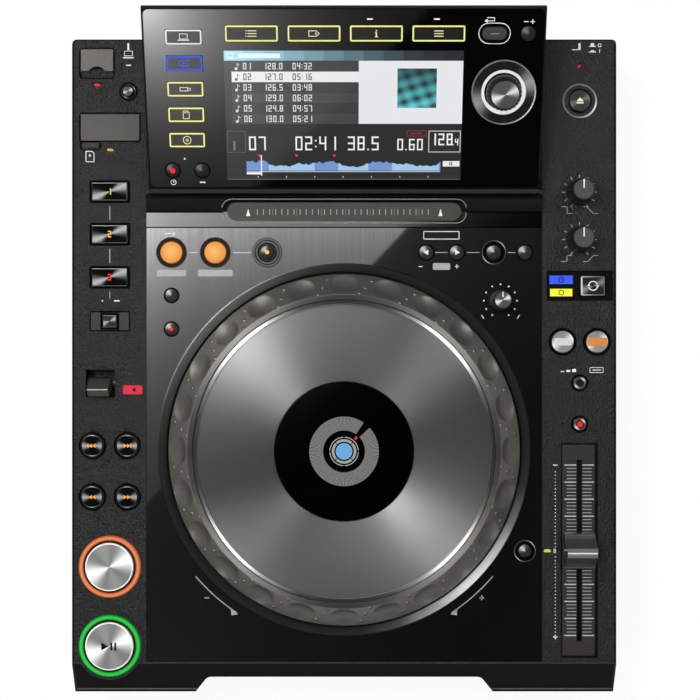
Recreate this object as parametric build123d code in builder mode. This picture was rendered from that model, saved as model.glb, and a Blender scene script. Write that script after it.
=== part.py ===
from build123d import *
import os
from math import atan2, cos, degrees, pi, radians, sin

os.makedirs("parts", exist_ok=True)

# ---------------------------------------------------------------- driving dimensions (mm)
# Origin: on the table, under the middle of the footprint. +X right, +Y to the rear, +Z up.
deck_z = 64.0
foot_height = 8.8
foot_radius = 11.0
foot_inset = (26.0, 44.95)
skirt_z = 8.0
base_sheet = 1.2
vent_size = (4.5, 60.0)
vent_pitch = 14.0
vent_count = 9

# moulded upper case
wall = 3.2
apron_run = 19.65
nose_drop = 11.0
nose_depth = 3.5
front_toe = 7.0
strip_width = 43.9
wing_step = 12.3
wing_corner = 3.0
edge_break = 0.8
tail_side = 2.9

# front notch and disc slot
slot_width = 130.0
slot_height = 5.6
slot_drop = 24.0
slot_scoop = 5.0
notch_side = 15.7
notch_spread = 8.3
notch_depth = 9.95
notch_corner = 5.0
face_sheet = 2.6
disc_bay_depth = 126.0
drive_margin = (20.0, 24.0)
drive_half_height = 9.0
drive_leg = 10.0

# jog wheel
dial_radius = 103.0
dial_slope_run = 12.2
dial_gap = 1.3
dial_rise = 13.6
dial_skirt = 1.2
rim_width = 3.2
flange_width = 4.5
flange_drop = 3.0
flange_proud = 0.7
bowl_wall = 2.0
bowl_depth = 14.0
bowl_floor = 2.5
plate_gap = 0.4
plate_rise = 14.0
plate_sheet = 2.6
plate_bevel = 1.9
plate_travel = 0.4
plate_seat = 3.0
window_radius = 40.2
post_radius = 15.0
post_bore = 11.0
hub_wall = 5.0
bearing_gap = 0.06
bearing_lift = 1.3
post_lift = 1.2
dial_drop = 3.0
web_sheet = 2.4
display_stem = 14.0
window_sink = 0.3
plate_skirt = 2.0
dimple_count = 24
dimple_sides = 12
dimple_width = 16.4
dimple_floor = 8.4
dimple_depth = 1.9

# brushed centre panel, as wide and long as the jog wheel and its margins ask
panel_side_margin = 7.1
jog_front_margin = 15.95
key_field = 21.35
panel_sheet = 1.6
panel_setback = 0.7
seam = 0.25

# tilted display unit
display_side = 3.65
display_length = 100.9
display_tilt = 19.3
display_rise = 9.0
glass_sheet = 3.0
glass_corner = 2.9
bezel_rim = 1.1
bezel_lip = 0.2
shell_wall = 2.5
tail_step = 3.53
jack_reach = 8.45
screen_margin = 44.25
screen_height = 74.4
screen_v = 41.2
screen_frame = 2.0
needle_field = 23.1
needle_length = 142.0
needle_width = 12.6
needle_setback = 10.1
needle_margin = 1.2
lip_rise = 0.7
lip_run = 8.6
slope_rise = 3.6

# keys
key_sides = 20
key_gap = 0.3
key_travel = 1.0
key_proud = 1.2
flange_margin = 1.3
flange_sheet = 1.2
stem_side = 4.0
stem_drop = 2.0
board_drop = 13.6
board_sheet = 1.6
board_clearance = 1.0
board_row = 18.0
switch_side = 6.0
switch_gap = 0.1
key_chamfer = 0.5

# ---------------------------------------------------------------- derived sizes
tilt = radians(display_tilt)
bowl_radius = dial_radius + dial_gap
flange_radius = bowl_radius + flange_width
rim_radius = dial_radius - dial_slope_run - rim_width
panel_length = jog_front_margin + 2 * flange_radius + key_field
panel_width = 2 * (flange_radius + panel_side_margin)
half_panel = panel_width / 2
display_run = (display_length + bezel_rim) * cos(tilt) + tail_step
display_width = panel_width - 2 * display_side
screen_width = display_width - 2 * screen_margin
tail_width = panel_width - 2 * tail_side
body_width = panel_width + 2 * strip_width
body_depth = apron_run + panel_length + needle_field + display_run + jack_reach
front_y = -body_depth / 2
rear_y = body_depth / 2
half_width = body_width / 2
deck_front_y = front_y + apron_run
panel_front_y = deck_front_y + panel_setback
jog_y = deck_front_y + jog_front_margin + flange_radius
panel_rear_y = deck_front_y + panel_length
needle_y = panel_rear_y + needle_setback
display_front_y = panel_rear_y + needle_field
tail_wall_y = display_front_y + display_run
wing_rear_y = tail_wall_y - wing_step
wall_z = deck_z - wall
seat_z = deck_z - panel_sheet
nose_z = deck_z - nose_drop
slot_z = deck_z - slot_drop
notch_y = front_y + notch_depth
notch_width = slot_width + 2 * notch_side
board_z = deck_z - board_drop
board_top = board_z + board_sheet
dial_z = deck_z + dial_rise
plate_z = deck_z + plate_rise
bowl_z = deck_z - bowl_depth
web_top = plate_z - plate_sheet - plate_travel - plate_seat

display_plane = Plane(
    origin=(0, display_front_y, deck_z + display_rise),
    x_dir=(1, 0, 0),
    z_dir=(0, -sin(tilt), cos(tilt)),
)


def display_at(depth):
    """Plane parallel to the display face, depth along its outward normal."""
    return display_plane.offset(depth)


def slope_point(v, depth):
    """(y, z) of the point v up the display face and depth along its normal."""
    return (
        display_front_y + v * cos(tilt) - depth * sin(tilt),
        deck_z + display_rise + v * sin(tilt) + depth * cos(tilt),
    )


# ---------------------------------------------------------------- control layout
# the strips' front controls follow the front edge, the rear ones the display and the wings
left_x = -half_width + 22.3
right_x = half_width - 21.7
cue_spots = {
    "cue_button": (left_x, deck_front_y + 56.2),
    "play_button": (left_x, deck_front_y + 9.8),
}
cue_radius = 14.1
cue_ring_inner = 14.8
cue_ring_outer = 18.2
ring_proud = 0.5
cue_proud = 2.6
cue_bevel = 1.2
play_boss_radius = 20.0
play_boss_drop = 17.0

hot_cue_y = {
    "hot_cue_1": panel_rear_y + 21.3,
    "hot_cue_2": panel_rear_y - 3.7,
    "hot_cue_3": panel_rear_y - 28.95,
}
hot_cue_size = (21.7, 11.2)
hot_cue_surround = (23.9, 12.9)

skip_spread = 10.25
skip_rows = {"track": deck_front_y + 127.2, "search": deck_front_y + 97.1}
skip_radius = 6.9
skip_recess = (35.7, 17.0)
recess_depth = 0.7
# tempo fader, with the two tempo keys between its plate and the sync keys
fader_travel = 50.0
fader_setback = 15.7
fader_margin = 12.85
fader_x = right_x - 0.1
fader_y = deck_front_y + fader_travel + fader_setback
fader_plate_size = (21.3, 2 * (fader_travel + fader_margin))
fader_slot = (3.2, 2 * fader_travel + 6.6)
sync_y = jog_y + 63.35
master_tempo_y = fader_y + fader_travel + fader_margin + 11.25
tempo_range_y = (master_tempo_y + sync_y) / 2

# name: (x, y, cap radius)
deck_keys = {
    "usb_stop_key": (left_x + 11.0, wing_rear_y - 30.6, 3.5),
    "track_back_key": (left_x - skip_spread, skip_rows["track"], skip_radius),
    "track_next_key": (left_x + skip_spread, skip_rows["track"], skip_radius),
    "search_back_key": (left_x - skip_spread, skip_rows["search"], skip_radius),
    "search_next_key": (left_x + skip_spread, skip_rows["search"], skip_radius),
    "eject_button": (right_x, wing_rear_y - 36.2, 6.3),
    "sync_key": (right_x - 10.0, sync_y, skip_radius),
    "master_key": (right_x + 10.2, sync_y, skip_radius),
    "tempo_range_key": (right_x + 0.1, tempo_range_y, 4.0),
    "master_tempo_key": (right_x + 0.1, master_tempo_y, 4.0),
}
panel_row_y = panel_rear_y - 14.4
panel_keys = {
    "loop_in_key": (-half_panel + 14.6, panel_row_y, 6.5),
    "loop_out_key": (-half_panel + 40.3, panel_row_y, 6.5),
    "reloop_key": (-half_panel + 70.8, panel_row_y, 3.75),
    "loop_mode_key": (-half_panel + 14.6, panel_row_y - 25.2, 3.8),
    "slip_key": (-half_panel + 14.6, panel_row_y - 44.9, 3.8),
    "call_back_key": (half_panel - 67.7, panel_row_y, 4.1),
    "call_next_key": (half_panel - 49.7, panel_row_y, 4.1),
    "delete_key": (half_panel - 28.1, panel_row_y, 4.0),
    "memory_key": (half_panel - 9.85, panel_row_y, 4.0),
    "tempo_reset_key": (half_panel - 9.9, deck_front_y + 65.4, 3.6),
}
# raised collars round some keys, name: (outer radius, hole radius, rise)
panel_collars = {
    "loop_in_key": (9.0, 7.4, 0.9),
    "loop_out_key": (9.0, 7.4, 0.9),
    "reloop_key": (8.5, 4.7, 0.9),
    "delete_key": (7.0, 5.2, 0.9),
    "tempo_reset_key": (6.3, 4.6, 0.9),
}
deck_collars = {
    "eject_button": (10.1, 7.3, 1.0),
    "usb_stop_key": (5.4, 4.3, 0.6),
}
collar_key_lift = 1.0
# name: (x, y, width, depth of the cap)
block_keys = {
    "rec_key": (left_x, panel_rear_y - 54.7, 9.0, 7.9),
    "jog_mode_key": (right_x + 7.8, panel_rear_y - 34.0, 14.0, 11.4),
}
rec_window = (left_x, panel_rear_y - 54.7, 23.2, 11.6)
mode_window = (right_x + 0.15, panel_rear_y - 33.85, 38.3, 17.3)

# rotary knobs: name: (x, y, skirt radius, top radius, height)
knobs = {
    "brake_knob": (right_x, panel_rear_y + 21.0, 7.7, 5.9, 16.5),
    "start_knob": (right_x, panel_rear_y - 6.8, 7.7, 5.9, 16.5),
    "jog_adjust_knob": (half_panel - 24.2, panel_row_y - 28.3, 6.2, 5.0, 14.0),
}
knob_gap = 0.4
knob_shaft = 3.0
knob_flutes = 24
knob_cap = 1.2
pot_size = (10.0, 11.0)
pot_clearance = 2.5

# tempo slider
slider_size = (18.0, 20.6)
slider_height = 13.0
slider_crown = 6.4
slider_skirt = 2.4

# direction lever
lever_x = left_x - 5.55
lever_y = deck_front_y + 163.75
lever_well = (17.1, 16.1)
lever_width = 12.2
lever_boss = 3.2
lever_pivot_drop = 7.0
lever_well_drop = 11.4
pin_radius = 1.2
pin_reach = 1.4
pin_gap = 0.05

# covers over the card and stick sockets
door_sheet = 1.6
door_pin = 0.7
usb_door_x = left_x - 7.55
usb_door_size = (19.3, 13.4)
usb_door_y = wing_rear_y - 5.2
usb_step = 4.6
scoop_radius = 5.6
socket_drop = 16.0
sd_door_x = left_x + 0.1
sd_door_size = (34.6, 16.2)
sd_door_y = wing_rear_y - 43.3
sd_tab = (11.4, 4.2)
door_side_gap = 0.2

# indicator lamps: (x, y, width, depth)
lamp_proud = 0.15
lamps = [
    (usb_door_x, wing_rear_y - 26.6, 4.6, 2.2),
    (left_x, wing_rear_y - 64.6, 4.2, 1.9),
    (half_panel + 3.7, fader_y - 0.4, 3.4, 1.9),
    (right_x, wing_rear_y - 15.5, 2.0, 2.0),
]

# display controls on the tilted face (u across, v up the slope)
source_u = -display_width / 2 + 22.25
source_v = 27.5
source_pitch = 14.55
source_count = 5
source_size = (20.2, 8.1)
browse_u = 0.7
browse_v = display_length - 13.2
browse_count = 4
browse_spread = 4.0
browse_gap = 5.6
browse_pitch = (screen_width + browse_spread) / browse_count
browse_size = (browse_pitch - browse_gap, 8.7)
tile_corner = 0.7
back_u = display_width / 2 - 27.75
back_size = (13.8, 7.0)
tag_u = display_width / 2 - 8.75
tag_radius = 4.0
mode_v = 9.7
mode_u = (-display_width / 2 + 13.35, -display_width / 2 + 30.35)
mode_radius = 4.0
selector_u = display_width / 2 - 21.65
selector_v = 54.9
selector_bezel = 18.2
selector_bezel_rise = 1.4
selector_light = (11.0, 12.5)
selector_light_rise = 1.0
selector_knob_radius = 10.3
selector_top_radius = 8.2
selector_height = 9.0
selector_crown = 2.0
selector_shaft_radius = 3.0
tile_proud = 0.7
tile_web = 1.4

# rear sockets: x across the rear wall
rear_row_drop = 28.0
pin_jack_x = (-62.0, -46.0, -24.0)
pin_jack_radius = 4.15
pin_jack_bore = 1.7
pin_jack_collar = 6.0
remote_jack_x = -78.0
remote_jack_bore = 1.8
lan_x = 12.0
lan_size = (16.0, 13.4)
lan_bore = (11.8, 7.0)
usb_b_x = 40.0
usb_b_size = (12.2, 10.9)
usb_b_bore = (8.6, 7.7)
mains_x = 84.0
mains_size = (27.6, 19.8)
mains_wall = 1.6
mains_blade = (2.0, 4.0)
mains_pitch = 8.0
socket_depth = 13.0
socket_floor = 1.5
power_x = half_width - 10.8
power_drop = 22.0
power_size = (9.0, 12.0)
power_travel = 2.0

# levels of the wells, sockets and the play button's boss
play_boss_z = deck_z - play_boss_drop
socket_floor_z = deck_z - socket_drop
lever_pivot_z = deck_z - lever_pivot_drop
lever_well_z = deck_z - lever_well_drop
rear_mid_z = deck_z - rear_row_drop
power_z = deck_z - power_drop

# ---------------------------------------------------------------- upper case
with BuildPart() as upper_case:
    # side profile: flat deck, apron that falls to the nose, undercut front
    with BuildSketch(Plane.YZ):
        with BuildLine():
            Polyline(
                (deck_front_y, deck_z),
                (front_y, nose_z),
                (front_y, nose_z - nose_depth),
                (front_y + front_toe, skirt_z),
                (wing_rear_y, skirt_z),
                (wing_rear_y, deck_z),
                close=True,
            )
        make_face()
    extrude(amount=half_width, both=True)
    case_ends = upper_case.faces().filter_by(Axis.X)
    chamfer(case_ends.edges().filter_by(Axis.Y).group_by(Axis.Z)[-1], edge_break)
    fillet(upper_case.edges().filter_by(Axis.Z).group_by(Axis.Y)[-1], wing_corner)
    # tail that carries the sockets under the display
    with BuildSketch(Plane.XY.offset(skirt_z)):
        with Locations((0, (wing_rear_y + tail_wall_y) / 2 - wall)):
            Rectangle(tail_width, tail_wall_y - wing_rear_y + 2 * wall)
    extrude(amount=seat_z - skirt_z)
    # hollow inside
    with BuildSketch(Plane.XY.offset(skirt_z)):
        with Locations((0, (notch_y + face_sheet + wall + wing_rear_y - wall) / 2)):
            Rectangle(body_width - 2 * wall, wing_rear_y - notch_y - face_sheet - 2 * wall)
        with Locations((0, wing_rear_y)):
            Rectangle(tail_width - 2 * wall, 2 * (tail_wall_y - wall - wing_rear_y))
    extrude(amount=wall_z - skirt_z, mode=Mode.SUBTRACT)
    # hollow noses of the two front wings
    wing_inner = notch_width / 2 + notch_spread + wall
    with BuildSketch(Plane.YZ.offset(wing_inner)) as nose_hollow:
        with BuildLine():
            Polyline(
                (deck_front_y, wall_z),
                (front_y + wall, nose_z - wall),
                (front_y + wall + front_toe, skirt_z),
                (deck_front_y, skirt_z),
                close=True,
            )
        make_face()
    extrude(amount=half_width - wall - wing_inner, mode=Mode.SUBTRACT)
    with BuildSketch(Plane.YZ.offset(-wing_inner)):
        add(nose_hollow.sketch_local)
    extrude(amount=-(half_width - wall - wing_inner), mode=Mode.SUBTRACT)
    # notch in the middle of the nose, flared towards the front
    with BuildSketch(Plane.XY.offset(skirt_z)):
        with BuildLine():
            Polyline(
                (-notch_width / 2, notch_y),
                (notch_width / 2, notch_y),
                (notch_width / 2 + notch_spread, front_y - 1),
                (-notch_width / 2 - notch_spread, front_y - 1),
                close=True,
            )
        notch_face = make_face()
        fillet(notch_face.vertices().group_by(Axis.Y)[-1], notch_corner)
    extrude(amount=deck_z - skirt_z, mode=Mode.SUBTRACT)
    # pocket behind the notch for the slot panel, and its disc passage
    pocket_width = notch_width - 2 * notch_corner
    with BuildSketch(Plane.XY.offset(skirt_z)):
        with Locations((0, notch_y + face_sheet / 2)):
            Rectangle(pocket_width, face_sheet)
    extrude(amount=nose_z - nose_depth - skirt_z, mode=Mode.SUBTRACT)
    with Locations((0, notch_y + face_sheet + wall / 2, slot_z)):
        Box(slot_width + slot_scoop, wall + 1, slot_height + slot_scoop, mode=Mode.SUBTRACT)
    # seat for the centre panel and the display unit, open inside its ledge
    with BuildSketch(Plane.XY.offset(seat_z)):
        with Locations((0, (panel_front_y - seam + tail_wall_y) / 2)):
            Rectangle(panel_width + 2 * seam, tail_wall_y - panel_front_y + seam)
    extrude(amount=panel_sheet, mode=Mode.SUBTRACT)
    with BuildSketch(Plane.XY.offset(wall_z)):
        with Locations((0, (panel_front_y + panel_rear_y) / 2)):
            Rectangle(panel_width - 2 * wall, panel_rear_y - panel_front_y - 2 * wall)
        with Locations((0, (display_front_y + wing_rear_y) / 2)):
            Rectangle(display_width - 4 * wall, wing_rear_y - display_front_y - 2 * wall)
    extrude(amount=wall, mode=Mode.SUBTRACT)
    # boss that carries the play button over the apron
    play_x, play_y = cue_spots["play_button"]
    with BuildSketch(Plane.XY.offset(play_boss_z)):
        with Locations((play_x, play_y)):
            Circle(play_boss_radius)
    extrude(amount=deck_z + edge_break - play_boss_z)
    for spot in cue_spots.values():
        with BuildSketch(Plane.XY.offset(play_boss_z)):
            with Locations(spot):
                Circle(cue_ring_outer + key_gap / 2)
        extrude(amount=deck_z + 2 - play_boss_z, mode=Mode.SUBTRACT)
    # blocks under the strip for the sockets and the lever
    with BuildSketch(Plane.XY.offset(socket_floor_z - wall)):
        with Locations((usb_door_x, usb_door_y - (usb_door_size[1] + usb_step) / 2)):
            Rectangle(usb_door_size[0] + wall, usb_door_size[1] + usb_step + wall)
        with Locations((sd_door_x, sd_door_y - sd_door_size[1] / 2)):
            Rectangle(sd_door_size[0] + wall, sd_door_size[1] + wall)
    extrude(amount=wall_z - socket_floor_z + wall)
    with BuildSketch(Plane.XY.offset(lever_well_z - wall)):
        with Locations((lever_x, lever_y)):
            Rectangle(lever_well[0] + 2 * wall, lever_well[1] + 2 * wall)
    extrude(amount=wall_z - lever_well_z + wall)
    with BuildSketch(Plane.XY.offset(lever_well_z)):
        with Locations((lever_x, lever_y)):
            Rectangle(*lever_well)
    extrude(amount=deck_z - lever_well_z, mode=Mode.SUBTRACT)
    with Locations((lever_x, lever_y, lever_pivot_z)):
        Cylinder(
            pin_radius + pin_gap,
            lever_well[0] + 2 * (pin_reach + key_gap),
            rotation=(0, 90, 0),
            mode=Mode.SUBTRACT,
        )
    # cover seats, socket wells and cover pins
    usb_well_y = usb_door_y - usb_door_size[1] / 2
    sd_tab_x = sd_door_x - (sd_door_size[0] - sd_tab[0]) / 2
    with BuildSketch(Plane.XY.offset(deck_z - door_sheet - 2 * door_side_gap)):
        with Locations((usb_door_x, usb_door_y - (usb_door_size[1] + usb_step) / 2)):
            Rectangle(usb_door_size[0] + 2 * door_side_gap, usb_door_size[1] + usb_step)
        with Locations((sd_door_x, sd_door_y - sd_door_size[1] / 2)):
            Rectangle(sd_door_size[0] + 2 * door_side_gap, sd_door_size[1] + 2 * door_side_gap)
        with Locations((sd_tab_x, sd_door_y - sd_door_size[1] - sd_tab[1] / 2 + door_side_gap)):
            Rectangle(*sd_tab)
    extrude(amount=door_sheet + 2 * door_side_gap, mode=Mode.SUBTRACT)
    with BuildSketch(Plane.XY.offset(socket_floor_z)):
        with Locations((usb_door_x, usb_well_y)):
            Rectangle(usb_door_size[0] - wall, usb_door_size[1] - wall)
        with Locations((sd_door_x, sd_door_y - sd_door_size[1] / 2)):
            Rectangle(sd_door_size[0] - wall, sd_door_size[1] - wall)
    extrude(amount=deck_z - socket_floor_z, mode=Mode.SUBTRACT)
    hinge_z = deck_z - door_sheet / 2
    for hinge_x, hinge_y, span in (
        (usb_door_x, usb_door_y, usb_door_size[0]),
        (sd_door_x, sd_door_y, sd_door_size[0]),
    ):
        with Locations((hinge_x, hinge_y - door_sheet / 2 - door_side_gap, hinge_z)):
            Cylinder(
                door_pin + pin_gap, span + 2 * pin_reach, rotation=(0, 90, 0), mode=Mode.SUBTRACT
            )
    # collars, shallow recesses and through holes of the strip controls
    for name, (outer, hole, rise) in deck_collars.items():
        with BuildSketch(Plane.XY.offset(deck_z)):
            with Locations(deck_keys[name][:2]):
                RegularPolygon(outer, key_sides)
        extrude(amount=rise)
        with BuildSketch(Plane.XY.offset(wall_z)):
            with Locations(deck_keys[name][:2]):
                RegularPolygon(hole, key_sides)
        extrude(amount=wall + rise, mode=Mode.SUBTRACT)
    with BuildSketch(Plane.XY.offset(deck_z - recess_depth)):
        for row_y in skip_rows.values():
            with Locations((left_x, row_y)):
                SlotOverall(*skip_recess)
        for y in hot_cue_y.values():
            with Locations((left_x, y)):
                Rectangle(*hot_cue_surround)
        for x, y, width, depth in (rec_window, mode_window):
            with Locations((x, y)):
                Rectangle(width, depth)
        for name in ("sync_key", "master_key"):
            with Locations(deck_keys[name][:2]):
                RegularPolygon(skip_recess[1] / 2, key_sides)
    extrude(amount=recess_depth, mode=Mode.SUBTRACT)
    with BuildSketch(Plane.XY.offset(wall_z)):
        for x, y, radius in deck_keys.values():
            with Locations((x, y)):
                RegularPolygon(radius + key_gap, key_sides)
        for y in hot_cue_y.values():
            with Locations((left_x, y)):
                Rectangle(hot_cue_size[0] + 2 * key_gap, hot_cue_size[1] + 2 * key_gap)
        for x, y, width, depth in block_keys.values():
            with Locations((x, y)):
                Rectangle(width + 2 * key_gap, depth + 2 * key_gap)
        for x, y, skirt, top, height in (knobs["brake_knob"], knobs["start_knob"]):
            with Locations((x, y)):
                RegularPolygon(knob_shaft + key_gap, key_sides)
        with Locations((fader_x, fader_y)):
            Rectangle(fader_plate_size[0] - 2 * wall, fader_plate_size[1] - 2 * wall)
    extrude(amount=wall, mode=Mode.SUBTRACT)
    with BuildSketch(Plane.XY.offset(seat_z)):
        with Locations((fader_x, fader_y)):
            Rectangle(fader_plate_size[0] + 2 * seam, fader_plate_size[1] + 2 * seam)
    extrude(amount=panel_sheet, mode=Mode.SUBTRACT)
    # indicator windows
    with BuildSketch(Plane.XY.offset(wall_z)):
        for x, y, width, depth in lamps:
            with Locations((x, y)):
                Rectangle(width + 2 * seam, depth + 2 * seam)
    extrude(amount=wall, mode=Mode.SUBTRACT)
    # socket openings in the tail wall and the power key opening
    with BuildSketch(Plane.XZ.offset(-tail_wall_y)):
        for x in pin_jack_x:
            with Locations((x, rear_mid_z)):
                Rectangle(2 * (pin_jack_collar + seam), 2 * (pin_jack_collar + seam))
        with Locations((remote_jack_x, rear_mid_z)):
            Rectangle(2 * (pin_jack_radius + seam), 2 * (pin_jack_radius + seam))
        for x, size in ((lan_x, lan_size), (usb_b_x, usb_b_size), (mains_x, mains_size)):
            with Locations((x, rear_mid_z)):
                Rectangle(size[0] + 2 * seam, size[1] + 2 * seam)
    extrude(amount=wall, mode=Mode.SUBTRACT)
    with Locations((power_x, wing_rear_y, power_z)):
        Box(
            power_size[0] + 2 * key_gap,
            3 * wall,
            power_size[1] + 2 * key_gap,
            mode=Mode.SUBTRACT,
        )
upper_case.part.label = "upper_case"
export_step(upper_case.part, "parts/upper_case.step")

# ---------------------------------------------------------------- underside
plate_front_y = notch_y + face_sheet + wall
nose_tongue = plate_front_y - (front_y + wall + front_toe) - 2 * seam
with BuildPart() as bottom_plate:
    with BuildSketch(Plane.XY.offset(foot_height)):
        with Locations((0, (plate_front_y + wing_rear_y - wall) / 2)):
            Rectangle(
                body_width - 2 * wall - 2 * seam, wing_rear_y - wall - plate_front_y - 2 * seam
            )
        # tongues that close the tail and the noses of the wings
        with Locations((0, wing_rear_y - wall)):
            Rectangle(tail_width - 2 * wall - 2 * seam, 2 * (tail_wall_y - wing_rear_y - seam))
        with Locations((0, plate_front_y)):
            with GridLocations(wing_inner + half_width - wall, 1, 2, 1):
                Rectangle(half_width - wall - wing_inner - 2 * seam, 2 * nose_tongue)
        # cooling slots under the drive
        with Locations((0, jog_y + bowl_radius)):
            with GridLocations(vent_pitch, 1, vent_count, 1):
                Rectangle(vent_size[0], vent_size[1], mode=Mode.SUBTRACT)
    extrude(amount=base_sheet)
bottom_plate.part.label = "bottom_plate"
export_step(bottom_plate.part, "parts/bottom_plate.step")

foot_spread_x = body_width - 2 * foot_inset[0]
foot_spread_y = body_depth - 2 * foot_inset[1]
with BuildPart() as rubber_feet:
    with BuildSketch():
        with GridLocations(foot_spread_x, foot_spread_y, 2, 2):
            Circle(foot_radius)
    extrude(amount=foot_height)
rubber_feet.part.label = "rubber_feet"
export_step(rubber_feet.part, "parts/rubber_feet.step")

# ---------------------------------------------------------------- slot panel in the notch
front_height = nose_z - nose_depth - skirt_z - 2 * seam
with BuildPart() as front_panel:
    with BuildSketch(Plane.XZ.offset(-notch_y)):
        with Locations((0, skirt_z + seam + front_height / 2)):
            Rectangle(pocket_width - 2 * seam, front_height)
        with Locations((0, slot_z)):
            SlotOverall(slot_width, slot_height, mode=Mode.SUBTRACT)
    extrude(amount=-face_sheet)
    # finger scoop above and below the slot
    with BuildSketch(Plane.XZ.offset(-notch_y)):
        with Locations((0, slot_z)):
            SlotOverall(slot_width + slot_scoop, slot_height + slot_scoop)
            SlotOverall(slot_width, slot_height, mode=Mode.SUBTRACT)
    extrude(amount=-0.8, mode=Mode.SUBTRACT)
front_panel.part.label = "front_panel"
export_step(front_panel.part, "parts/front_panel.step")

# disc drive: a box with the disc bay, open to the front slot
drive_size = (slot_width + drive_margin[0], disc_bay_depth + drive_margin[1])
drive_y = notch_y + face_sheet + wall + seam
leg_inset = drive_leg + 4.0
with BuildPart() as drive_unit:
    with BuildSketch(Plane.XY.offset(slot_z - drive_half_height)):
        with Locations((0, drive_y + drive_size[1] / 2)):
            Rectangle(*drive_size)
    extrude(amount=2 * drive_half_height)
    with BuildSketch(Plane.XY.offset(slot_z - slot_height / 2)):
        with Locations((0, drive_y + disc_bay_depth / 2)):
            Rectangle(slot_width, disc_bay_depth)
    extrude(amount=slot_height, mode=Mode.SUBTRACT)
    # four legs that stand on the bottom plate
    with BuildSketch(Plane.XY.offset(foot_height + base_sheet)):
        with Locations((0, drive_y + drive_size[1] / 2)):
            with GridLocations(drive_size[0] - leg_inset, drive_size[1] - leg_inset, 2, 2):
                Rectangle(drive_leg, drive_leg)
    extrude(amount=slot_z - drive_half_height - foot_height - base_sheet)
drive_unit.part.label = "drive_unit"
export_step(drive_unit.part, "parts/drive_unit.step")

# ---------------------------------------------------------------- centre panel
with BuildPart() as deck_panel:
    with BuildSketch(Plane.XY.offset(seat_z)):
        with Locations((0, (panel_front_y + panel_rear_y) / 2)):
            Rectangle(panel_width, panel_rear_y - panel_front_y)
        with Locations((0, jog_y)):
            Circle(flange_radius + seam, mode=Mode.SUBTRACT)
        for x, y, radius in panel_keys.values():
            with Locations((x, y)):
                RegularPolygon(radius + key_gap, key_sides, mode=Mode.SUBTRACT)
        with Locations(knobs["jog_adjust_knob"][:2]):
            RegularPolygon(knob_shaft + key_gap, key_sides, mode=Mode.SUBTRACT)
    extrude(amount=panel_sheet)
    for name, (outer, hole, rise) in panel_collars.items():
        with BuildSketch(Plane.XY.offset(deck_z)):
            with Locations(panel_keys[name][:2]):
                RegularPolygon(outer, key_sides)
        extrude(amount=rise)
        with BuildSketch(Plane.XY.offset(seat_z)):
            with Locations(panel_keys[name][:2]):
                RegularPolygon(hole, key_sides)
        extrude(amount=panel_sheet + rise, mode=Mode.SUBTRACT)
deck_panel.part.label = "deck_panel"
export_step(deck_panel.part, "parts/deck_panel.step")

# ---------------------------------------------------------------- jog wheel
# the turned profiles lie in a plane that passes between two dimples
half_pitch = pi / dimple_count
jog_section = Plane(
    origin=(0, jog_y, 0),
    x_dir=(cos(half_pitch), sin(half_pitch), 0),
    z_dir=(sin(half_pitch), -cos(half_pitch), 0),
)
jog_axis = Axis((0, jog_y, 0), (0, 0, 1))
post_top = web_top + post_lift
with BuildPart() as jog_well:
    with BuildSketch(jog_section):
        with BuildLine():
            Polyline(
                (post_bore, bowl_z),
                (bowl_radius + bowl_wall, bowl_z),
                (bowl_radius + bowl_wall, deck_z - flange_drop - bowl_wall),
                (flange_radius, deck_z - bowl_wall),
                (flange_radius, deck_z + flange_proud),
                (bowl_radius, deck_z - flange_drop),
                (bowl_radius, bowl_z + bowl_floor),
                (post_radius, bowl_z + bowl_floor),
                (post_radius, post_top),
                (post_bore, post_top),
                close=True,
            )
        make_face()
    revolve(axis=jog_axis)
jog_well.part.label = "jog_well"
export_step(jog_well.part, "parts/jog_well.step")

# dial: a hub that turns on the post, a web, and a sloping side that the fingers turn
hub_radius = post_radius + hub_wall
hub_foot_z = bowl_z + bowl_floor + bearing_lift
dial_foot_z = deck_z - flange_drop - dial_drop
slope_foot = (dial_radius, deck_z + dial_skirt)
slope_head = (dial_radius - dial_slope_run, dial_z)
slope_angle = atan2(slope_head[1] - slope_foot[1], dial_slope_run)
with BuildPart() as jog_ring:
    with BuildSketch(jog_section):
        with BuildLine():
            Polyline(
                (post_radius + bearing_gap, hub_foot_z),
                (hub_radius, hub_foot_z),
                (hub_radius, web_top - web_sheet),
                (slope_head[0] - web_sheet, web_top - web_sheet),
                (dial_radius - wall, dial_foot_z),
                (dial_radius, dial_foot_z),
                slope_foot,
                slope_head,
                (rim_radius, dial_z),
                (rim_radius, web_top),
                (post_radius + bearing_gap, web_top),
                close=True,
            )
        make_face()
    revolve(axis=jog_axis)
    # finger dimples sunk square to the slope, each with a flat floor and dished sides
    dimple_r = (slope_foot[0] + slope_head[0]) / 2
    dimple_z = (slope_foot[1] + slope_head[1]) / 2
    dish_angle = degrees(atan2((dimple_width - dimple_floor) / 2, dimple_depth))
    for index in range(dimple_count):
        turn = 2 * pi * index / dimple_count
        dimple_plane = Plane(
            origin=(dimple_r * cos(turn), jog_y + dimple_r * sin(turn), dimple_z),
            x_dir=(-sin(turn), cos(turn), 0),
            z_dir=(
                sin(slope_angle) * cos(turn),
                sin(slope_angle) * sin(turn),
                cos(slope_angle),
            ),
        )
        with BuildSketch(dimple_plane):
            RegularPolygon(dimple_width / 2, dimple_sides)
        extrude(amount=-dimple_depth, taper=dish_angle, mode=Mode.SUBTRACT)
jog_ring.part.label = "jog_ring"
export_step(jog_ring.part, "parts/jog_ring.step")

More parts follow.
